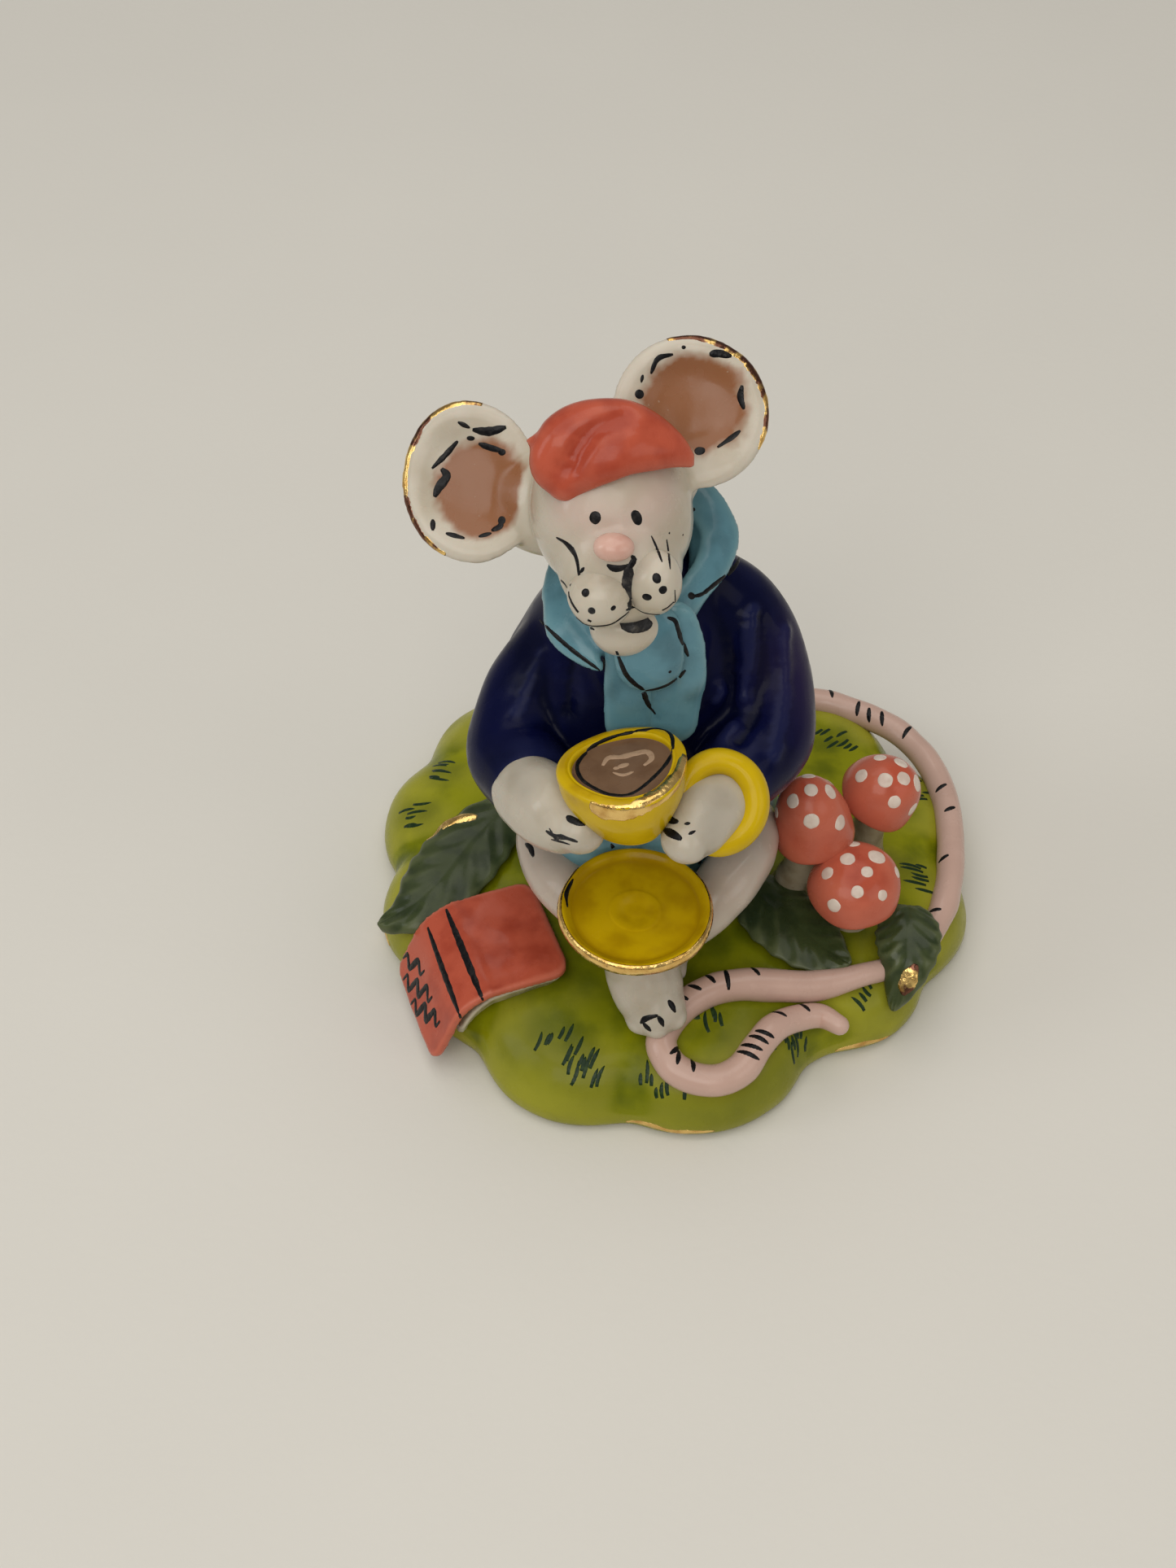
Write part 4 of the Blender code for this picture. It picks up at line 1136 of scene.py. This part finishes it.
# Each leaf as (name, spine, half width, seed).
LEAVES = (
    ("leaf_right", ((-23.5, 7.0, 12.8), (-27.6, 1.2, 12.6), (-31.4, -4.4, 12.0), (-35.6, -8.6, 10.0),
                    (-40.2, -10.2, 8.0)), 5.7, 0.3),
    ("leaf_front", ((10.0, -6.5, 12.6), (13.5, -12.0, 12.6), (18.0, -16.8, 12.2),
                    (22.0, -19.8, 11.4)), 5.5, 1.4),
    ("leaf_left", ((30.2, -11.4, 13.2), (30.0, -15.6, 13.4), (29.4, -19.6, 11.8),
                   (28.0, -23.0, 6.4)), 4.3, 2.6),
)

# Each toadstool as (name, foot, neck, radius, height of the cap, tilt of the cap).
TOADSTOOLS = (
    ("toadstool_inner", (15.2, -5.4), (17.4, -6.8, 23.4), 5.3, 9.4, (2, -10, 0)),
    ("toadstool_outer", (25.4, 1.0), (26.2, -0.4, 23.4), 5.3, 6.4, (10, 24, 0)),
    ("toadstool_front", (22.4, -10.4), (22.6, -12.8, 19.4), 6.1, 5.0, (16, 0, 0)),
)


def make_toadstool(name, foot, neck, radius, height, tilt):
    base = Vector((*foot, mound_top(*foot) - 0.5))
    middle = base.lerp(Vector(neck), 0.5)
    bm = bmesh.new()
    roll(bm, ((*base, 2.8), (*middle, 2.2), (*neck, 2.1)), up=(1, 0, 0))
    ball(bm, base, (3.3, 3.3, 1.2))
    lump_clay(name + "_stem", bm, 0.35, 6, (0.25, 3.0, radius), STEM)
    bm = bmesh.new()
    turned(bm, ((0.0, height), (0.25 * radius, 0.98 * height), (0.5 * radius, 0.88 * height),
                (0.76 * radius, 0.66 * height), (0.93 * radius, 0.34 * height), (radius, 0.0),
                (0.95 * radius, -0.5), (0.8 * radius, -0.55), (0.5 * radius, -0.4), (0.0, -0.3)),
           placed(neck, tilt), steps=64)
    mesh = mesh_of(bm, name)
    knead(mesh, 0.3, 4.5, height)
    return add_clay(name + "_cap", mesh, CORAL)


# The tail's middle line on the mound as (x, y, share of its full radius), from its root to its tip.
TAIL_ROUTE = (
    (-1.0, 10.5, 1.0), (4.5, 21.0, 1.0), (10.0, 27.2, 1.0), (16.0, 30.4, 1.0), (22.0, 31.0, 1.0),
    (27.0, 29.8, 1.0), (32.4, 26.2, 1.0), (36.0, 21.0, 1.0), (38.1, 14.0, 1.0), (38.3, 5.6, 1.0),
    (37.2, -2.8, 1.0), (35.0, -9.8, 0.95),
    (30.4, -16.4, 0.75), (23.6, -20.4, 0.85), (17.4, -22.3, 1.05), (12.2, -22.8, 1.15), (7.4, -23.2, 1.15),
    (3.4, -24.4, 1.1), (-0.2, -27.0, 1.05), (-2.7, -31.0, 1.05), (-1.8, -34.2, 1.05), (1.0, -35.9, 1.08),
    (4.4, -36.1, 1.1), (7.4, -34.6, 1.1), (9.6, -31.6, 1.05), (11.9, -28.8, 1.0), (14.9, -26.6, 0.95),
    (18.0, -25.8, 0.85), (20.4, -27.2, 0.7),
)


def tail_stops():
    """(x, y, z, radius) along the tail, which lies on the mound."""
    return [(x, y, max(TAIL_LOWEST, mound_top(x, y) + TAIL_LIFT), TAIL_RADIUS * share)
            for x, y, share in TAIL_ROUTE]


def make_tail():
    bm = bmesh.new()
    roll(bm, tail_stops(), pieces=9, sides=28)
    mesh = mesh_of(bm, "tail")
    knead(mesh, 0.16, 4.0, 6.0)
    return add_clay("tail", mesh, PINK)


# ---- painted marks

# Marks are (width, point, point, ...) strokes and (x, y, across, up, turn) blots, in millimetres on a canvas.
FACE = (-8.4, -17.0, 76.0)
FACE_STROKES = (
    (0.55, (-7.2, 5.0), (-6.2, 4.4), (-5.3, 3.4), (-4.9, 2.3), (-4.7, 0.8)),
    (0.30, (-4.6, 1.1), (-4.1, 1.7)),
    (0.30, (3.3, 5.2), (3.9, 3.9), (4.5, 2.3)),
    (0.30, (5.0, 4.8), (5.2, 3.5), (5.4, 1.5)),
    (0.65, (-1.6, 2.0), (-0.9, 1.6), (-0.1, 1.6), (0.6, 1.9)),
    (0.65, (1.1, 3.0), (1.4, 2.6), (1.1, 2.0), (0.8, 1.5)),
    (0.30, (-4.3, -4.5), (-3.0, -4.8), (-1.2, -4.6), (0.1, -3.8), (0.8, -3.2)),
    (0.30, (1.4, -2.7), (2.5, -3.3), (3.9, -3.5), (5.1, -3.3), (5.9, -2.4), (5.9, -0.8)),
    (0.40, (0.5, -3.0), (1.5, -2.7)),
    (0.40, (-8.1, -0.8), (-6.3, -2.6), (-4.2, -4.5), (-3.0, -5.2)),
)
FACE_BLOTS = (
    (-2.9, 7.2, 0.66, 0.76, 0), (1.7, 7.2, 0.6, 0.95, 25), (-4.0, -1.1, 0.5, 0.5, 0),
    (-0.9, -2.8, 0.35, 0.3, 40), (3.9, 0.5, 0.5, 0.62, 20), (4.6, -0.8, 0.5, 0.5, 0),
    (2.8, -1.6, 0.6, 0.45, 10), (5.3, 5.5, 0.13, 0.13, 0), (6.8, 5.3, 0.12, 0.12, 0),
)
FACE_GREY_STROKES = (
    (0.28, (-8.1, 0.7), (-7.1, 0.5), (-6.3, -0.1), (-5.8, -1.0)),
    (1.15, (0.8, 2.1), (0.8, 0.6), (0.9, -1.1), (1.0, -2.9)),
)
FACE_GREY_BLOTS = ((-3.3, -3.1, 0.45, 0.45, 0), (1.8, -4.7, 2.1, 0.95, 6))

RIGHT_EAR_STROKES = (
    (0.45, (-1.5, 7.0), (-0.1, 6.3)),
    (0.85, (0.2, 6.1), (2.1, 5.9), (4.1, 6.4)),
    (0.55, (-1.5, 4.8), (-2.9, 3.2), (-4.5, 1.6)),
    (0.60, (0.9, 4.5), (2.3, 4.0), (3.8, 3.6)),
    (0.85, (-3.4, 1.6), (-2.8, 0.7), (-3.7, -0.6), (-4.2, -1.7)),
    (0.50, (-4.4, -4.3), (-4.4, -5.6)),
    (0.45, (-2.9, -5.9), (-0.7, -6.5)),
    (0.45, (0.9, -6.3), (2.4, -5.9)),
    (0.60, (2.4, -5.6), (3.4, -5.1), (3.5, -4.4)),
)
RIGHT_EAR_BLOTS = ((0.0, 5.1, 0.5, 0.3, 0), (3.6, 3.5, 0.5, 0.4, 0), (3.6, -4.4, 0.5, 0.5, 0))
LEFT_EAR_STROKES = (
    (0.30, (-5.4, 4.3), (-5.6, 3.4)),
    (0.55, (-4.5, 4.4), (-3.7, 6.1), (-2.0, 6.6)),
    (0.80, (2.1, 6.6), (3.2, 6.7), (4.6, 6.4)),
    (0.60, (5.8, 3.1), (5.6, 1.8), (6.0, 0.4)),
    (0.50, (5.6, -2.0), (4.6, -2.8), (3.0, -3.9)),
)
LEFT_EAR_BLOTS = ((-5.8, 2.1, 0.55, 0.55, 0), (-0.8, 7.4, 0.25, 0.22, 0), (1.0, -4.3, 0.65, 0.5, 10))

CHEST = (-4.4, -15.6, 61.2)
CHEST_STROKES = (
    (0.45, (-13.3, 5.8), (-11.9, 4.4), (-10.0, 2.7), (-8.2, 1.3), (-6.1, -0.2)),
    (0.30, (-5.8, 2.5), (-5.9, 0.0)),
    (0.60, (-4.4, 2.2), (-4.0, 1.1), (-3.3, -0.5), (-2.3, -1.6), (-1.4, -2.3), (-0.8, -3.8), (0.1, -5.1)),
    (0.55, (-1.1, -2.4), (0.2, -2.2), (1.6, -1.7), (2.8, -0.8), (3.6, 0.0)),
    (0.60, (1.5, 6.1), (2.4, 5.7), (2.8, 4.6), (3.3, 3.1), (3.9, 1.6)),
    (0.50, (9.9, 13.2), (9.4, 12.1), (8.2, 10.9), (6.7, 9.7), (5.5, 8.8), (4.3, 8.5)),
)
CHEST_BLOTS = ((1.8, -0.2, 0.2, 0.2, 0), (4.3, 8.6, 0.5, 0.45, 0), (4.5, 18.6, 0.25, 0.25, 0))

TEA = (-7.0, -26.0, 50.0)
COFFEE_OUTLINE = ((-6.3, 4.4), (-4.7, 6.3), (-2.3, 7.5), (0.6, 8.2), (3.0, 8.5), (4.6, 7.7), (4.5, 5.3),
                  (2.7, 3.0), (0.1, 1.0), (-2.3, 0.8), (-4.2, 1.5), (-5.9, 2.7))
CREAM_STROKES = (
    (0.75, (-3.4, 4.2), (-2.7, 5.1), (-1.2, 5.2), (0.4, 5.6), (1.8, 5.8), (2.3, 5.0), (1.4, 4.2)),
    (0.45, (-2.2, 3.4), (-1.0, 3.1), (0.2, 3.5)),
)
CREAM_BLOTS = ((-1.0, 4.2, 0.75, 0.4, 20), (-1.8, 3.9, 0.4, 0.3, 0))
CUP_GOLD_STROKES = ((2.7, (-4.9, -0.4), (-3.2, -1.2), (0.1, -0.9), (3.5, 0.8), (5.6, 3.0), (6.3, 5.3)),)
PAW_STROKES = (
    (0.50, (-7.0, 0.0), (-6.0, -0.1)),
    (0.70, (-7.6, -1.7), (-6.8, -2.2), (-5.4, -2.7)),
    (0.30, (-7.0, -2.4), (-5.2, -2.6)),
    (0.80, (3.7, -1.4), (4.6, -2.2), (5.4, -2.4)),
    (0.80, (3.6, -3.2), (4.6, -3.7), (5.8, -4.4)),
    (0.35, (6.1, -2.6), (6.8, -2.5)),
    (0.35, (6.6, -3.8), (7.4, -3.4)),
)
PAW_SMUDGES = (
    (0.50, (-10.0, -3.4), (-9.0, -4.0), (-7.8, -4.2), (-6.3, -4.7)),
    (0.30, (-9.4, -4.4), (-8.2, -4.7), (-7.2, -5.0)),
    (0.30, (-9.6, -3.1), (-8.8, -4.4), (-8.2, -3.8)),
)

LAP = (-6.3, -30.0, 31.0)
LAP_STROKES = (
    (0.65, (-13.4, 10.7), (-12.8, 10.2), (-12.4, 9.1)),
    (0.40, (-3.0, 10.7), (-2.6, 9.9)),
    (0.50, (7.5, 9.4), (7.8, 8.2)),
    (0.50, (-7.6, 6.4), (-8.4, 4.7), (-8.3, 3.0)),
)

FOOT = (-3.0, -33.0, 14.0)
FOOT_STROKES = (
    (0.60, (-2.5, 1.6), (-1.8, 2.2), (-0.3, 2.6)),
    (0.60, (-2.2, 1.7), (-1.7, 1.1), (-1.2, 0.6)),
    (0.60, (-0.3, 2.5), (0.1, 1.9), (0.4, 1.2)),
    (0.65, (1.0, 4.5), (1.5, 3.8), (1.9, 3.0)),
)

BOOK = (-28.0, -18.4, 13.6)
BOOK_STROKES = (
    (0.75, (-2.6, 5.0), (-0.2, -0.9), (2.2, -6.9)),
    (0.75, (-5.0, 2.6), (-2.8, -3.6), (-0.7, -9.2)),
)
# Made-up squiggles on the book's cover, as (start, end, height, humps). They spell nothing.
BOOK_SQUIGGLES = (
    ((-8.2, -1.4), (-5.4, -3.0), 0.7, 2),
    ((-8.2, -4.2), (-4.4, -6.4), 0.8, 3),
    ((-7.2, -7.4), (-3.4, -9.6), 0.8, 3),
)

# Dashes across the tail, as (how far along its route, start and end in degrees from the top, lean along it).
TAIL_DASHES = (
    (1.6, -20, 60, 0.5), (2.4, -50, 20, -0.4), (3.3, -10, 60, 0.6), (4.2, -60, 10, 0.3), (5.1, -15, 55, 0.4),
    (5.4, -5, 60, 0.5), (5.7, -20, 50, 0.6), (6.4, -40, 40, 0.5), (8.1, -10, 45, 0.5), (8.6, -30, 20, 0.4),
    (9.7, 10, 60, 0.4), (11.0, 0, 55, 0.5), (12.2, 0, 45, 0.5), (15.6, -5, 45, 0.4), (16.4, -45, 50, -0.3),
    (16.9, -10, 50, 0.3), (17.4, -10, 40, 0.4), (17.9, -15, 35, 0.4), (19.7, -60, 0, 0.5),
    (20.2, -40, 20, 0.4), (20.8, -50, 10, 0.6), (23.4, -40, 50, 0.3), (23.7, -45, 40, 0.4),
    (24.0, -40, 45, 0.3), (24.3, -30, 45, 0.4), (25.2, -50, 10, 0.4), (26.3, -50, 10, 0.4),
)
TAIL_DASH_WIDTH = 0.72

# Gold brushed along the foot of the mound, as (first, last) directions in degrees.
MOUND_GOLD = ((-101, -84), (-52, -40), (60, 82), (120, 134), (-176, -168))

MOUND_GOLD_WIDTH = 1.1
MOUND_GOLD_HEIGHT = 1.6

# Gold on the ears' edges, as (name, ear, first and last direction in degrees from its own +X). The edge lies
# at a share of the ear's radii and at a height over its middle plane.
EAR_GOLD = (("right", EAR_RIGHT, 70, 238), ("left", EAR_LEFT, 112, -24))
EAR_GOLD_WIDTH = 2.0
EAR_EDGE_SHARE = 0.985
EAR_EDGE_HEIGHT = 0.1

# Gold on the saucer's rim runs between these directions, and leaves its back bare.
SAUCER_GOLD = (-222, 42)
SAUCER_GOLD_WIDTH = 5.0
SAUCER_GOLD_RISE = 0.16
SAUCER_RIM_HEIGHT = 1.6

# Gold on two of the leaves, as (name, width, route).
LEAF_GOLD = (
    ("right_leaf_gold", 2.0, ((-27.3, 4.8, 13.2), (-30.1, 4.7, 13.2), (-32.5, 4.2, 13.0),
                              (-35.2, 2.8, 12.0))),
    ("left_leaf_gold", 2.4, ((30.6, -20.2, 12.4), (29.8, -21.4, 10.8), (29.0, -22.6, 9.0))),
)

# Grass strokes: how far apart they stand, how far each may stray along its tuft and up the mound, how long
# they are, how far they lean, and their width and rise.
GRASS_SPACING = 0.75
GRASS_STRAY = (0.4, 1.6)
GRASS_LENGTH = (1.6, 3.4)
GRASS_LEAN = 0.35
GRASS_WIDTH = 0.62
GRASS_RISE = 0.04

# The dots on each toadstool.
DOTS = 10
DOT_RADIUS = 1.0
DOT_RISE = 0.12
GOLDEN_ANGLE = math.radians(137.5)


def gild(name, tree, lines, width, gold=GOLD, rise=0.1):
    """Gold brushed along each line, uneven in width."""
    bm = bmesh.new()
    for line in lines:
        shares = pressure(len(line), (0.3, 0.3))
        widths = [width * share * (1 + 0.5 * noise.noise(point * 0.6)) for share, point in zip(shares, line)]
        lay_strip(bm, tree, line, widths, rise)
    add_marks(name, bm, gold)


def gild_ears(head):
    tree = surface(head)
    steps = 90
    for name, (place, radii, tilt), first, last in EAR_GOLD:
        matrix = placed(place, tilt)
        edge = (EAR_EDGE_SHARE * radii[0], EAR_EDGE_SHARE * radii[1])
        path = [round_spot(matrix, edge, math.radians(first + (last - first) * step / steps), EAR_EDGE_HEIGHT)
                for step in range(steps + 1)]
        gild(name + "_ear_gold", tree, [path], EAR_GOLD_WIDTH, THIN_GOLD)


def gild_saucer(saucer):
    matrix = placed(*SAUCER_PLACE)
    reach = SAUCER_RADIUS + 0.3
    first, last = SAUCER_GOLD
    steps = 160
    path = [round_spot(matrix, (reach, reach), math.radians(first + (last - first) * step / steps),
                       SAUCER_RIM_HEIGHT) for step in range(steps + 1)]
    gild("saucer_gold", surface(saucer), [path], SAUCER_GOLD_WIDTH, rise=SAUCER_GOLD_RISE)


def gild_mound(tree):
    lines = []
    for first, last in MOUND_GOLD:
        line = []
        for degree in range(first, last + 1):
            spot = mound_spot(math.radians(degree), 0.995)
            spot.z = MOUND_GOLD_HEIGHT + 0.5 * noise.noise(spot * 0.3)
            line.append(spot)
        lines.append(line)
    gild("mound_gold", tree, lines, MOUND_GOLD_WIDTH)


def outline_coffee(cup, coffee):
    bm = bmesh.new()
    Canvas(surface(cup, coffee), TEA, bm).stroke(COFFEE_OUTLINE, 0.4, closed=True)
    add_marks("coffee_outline", bm, INK)


def book_squiggles():
    """The squiggles as strokes: waves along each line."""
    squiggles = []
    for (x0, y0), (x1, y1), height, humps in BOOK_SQUIGGLES:
        squiggle = [0.8]
        for step in range(4 * humps + 1):
            t = step / (4 * humps)
            lift = height * math.sin(2 * math.pi * humps * t)
            squiggle.append((x0 + (x1 - x0) * t + 0.3 * lift, y0 + (y1 - y0) * t + lift))
        squiggles.append(squiggle)
    return squiggles


def paint_tail(tail):
    """Short dashes across the upper side of the tail, all the way along."""
    tree = surface(tail)
    route = [Vector(stop) for stop in tail_stops()]
    steps = 8
    bm = bmesh.new()
    for along, first, last, lean in TAIL_DASHES:
        index = int(along)
        before, after = route[index], route[index + 1]
        middle = before.lerp(after, along - index)
        onward = (after - before).xyz.normalized()
        side = onward.cross(Vector((0, 0, 1))).normalized()
        out = side.cross(onward)
        path = []
        for step in range(steps + 1):
            angle = math.radians(first + (last - first) * step / steps)
            path.append(middle.xyz + middle.w * (side * math.sin(angle) + out * math.cos(angle))
                        + onward * lean * (step / steps - 0.5) * 2)
        lay_strip(bm, tree, path, [TAIL_DASH_WIDTH * share for share in pressure(len(path), (0.5, 0.3))])
    add_marks("tail_dashes", bm, INK)


def paint_grass(tree):
    """Tufts of short strokes that point up the mound."""
    draw = random.Random(7)
    steps = 7
    bm = bmesh.new()
    for direction, share, count in GRASS_TUFTS:
        angle = math.radians(direction)
        foot = mound_spot(angle, share)
        inward = (mound_spot(angle, share - 0.12) - foot).normalized()
        side = inward.cross(Vector((0, 0, 1))).normalized()
        aside, upward = GRASS_STRAY
        for index in range(count):
            start = foot + side * ((index - (count - 1) / 2) * GRASS_SPACING + draw.uniform(-aside, aside))
            start += inward * draw.uniform(-upward, upward)
            length = draw.uniform(*GRASS_LENGTH)
            lean = draw.uniform(-GRASS_LEAN, GRASS_LEAN)
            path = []
            for step in range(steps + 1):
                t = step / steps - 0.5
                path.append(start + inward * length * t + side * length * lean * t**2)
            widths = [GRASS_WIDTH * part for part in pressure(len(path), (0.8, 0.2))]
            lay_strip(bm, tree, path, widths, GRASS_RISE)
    add_marks("grass_strokes", bm, GRASS_INK)


def paint_dots(name, cap, neck, radius, height, tilt):
    """White dots spread evenly over a toadstool's cap, in the order of the seeds of a sunflower."""
    tree = surface(cap)
    matrix = placed(neck, tilt)
    bm = bmesh.new()
    for index in range(DOTS):
        share = math.sqrt((index + 0.35) / DOTS) * 0.97
        spot = round_spot(matrix, (share * radius, share * radius), index * GOLDEN_ANGLE + radius,
                          height * math.sqrt(1 - share**2))
        size = DOT_RADIUS + 0.5 * noise.noise(spot)
        lay_blot(bm, tree, spot, (size, size), rise=DOT_RISE)
    add_marks(name + "_dots", bm, DOT_WHITE)


# ---- the whole

def build():
    make_camera()
    make_floor()
    make_light()
    mound = make_mound()
    shorts = make_shorts()
    jacket = make_jacket()
    legs = make_legs()
    paws = make_paws()
    head = make_head()
    muzzle = make_muzzle()
    make_cap()
    scarf = make_scarf()
    cup, coffee = make_cup()
    make_handle()
    saucer = make_saucer()
    cover = make_book()
    leaf_right, _, leaf_left = [make_leaf(*row) for row in LEAVES]
    for row in TOADSTOOLS:
        name, _, neck, radius, height, tilt = row
        paint_dots(name, make_toadstool(*row), neck, radius, height, tilt)
    tail = make_tail()
    face = (head, *muzzle)
    for name, enamel, pieces, canvas, *marks in (
            ("face_lines", INK, face, FACE, FACE_STROKES, FACE_BLOTS),
            ("face_shadows", GREY_INK, face, FACE, FACE_GREY_STROKES, FACE_GREY_BLOTS),
            ("right_ear_lines", INK, [head], EAR_RIGHT[0], RIGHT_EAR_STROKES, RIGHT_EAR_BLOTS),
            ("left_ear_lines", INK, [head], EAR_LEFT[0], LEFT_EAR_STROKES, LEFT_EAR_BLOTS),
            ("scarf_lines", INK, (*scarf, jacket, *muzzle), CHEST, CHEST_STROKES, CHEST_BLOTS),
            ("cream_swirl", CREAM, [coffee], TEA, CREAM_STROKES, CREAM_BLOTS),
            ("cup_gold", GOLD, (cup, coffee), TEA, CUP_GOLD_STROKES),
            ("paw_claws", INK, paws, TEA, PAW_STROKES),
            ("paw_smudges", GREY_INK, paws, TEA, PAW_SMUDGES),
            ("lap_lines", INK, (saucer, *legs, shorts, jacket), LAP, LAP_STROKES),
            ("foot_claws", INK, [legs[0]], FOOT, FOOT_STROKES),
            ("book_lines", INK, [cover], BOOK, BOOK_STROKES),
            ("book_squiggles", INK, [cover], BOOK, book_squiggles())):
        add_marks(name, paint(surface(*pieces), canvas, *marks), enamel)
    outline_coffee(cup, coffee)
    paint_tail(tail)
    ground = surface(mound)
    paint_grass(ground)
    gild_mound(ground)
    gild_ears(head)
    gild_saucer(saucer)
    for leaf, gold, (name, width, route) in zip((leaf_right, leaf_left), (GOLD, THIN_GOLD), LEAF_GOLD):
        gild(name, surface(leaf), [smooth_path(route, 12)], width, gold)


build()
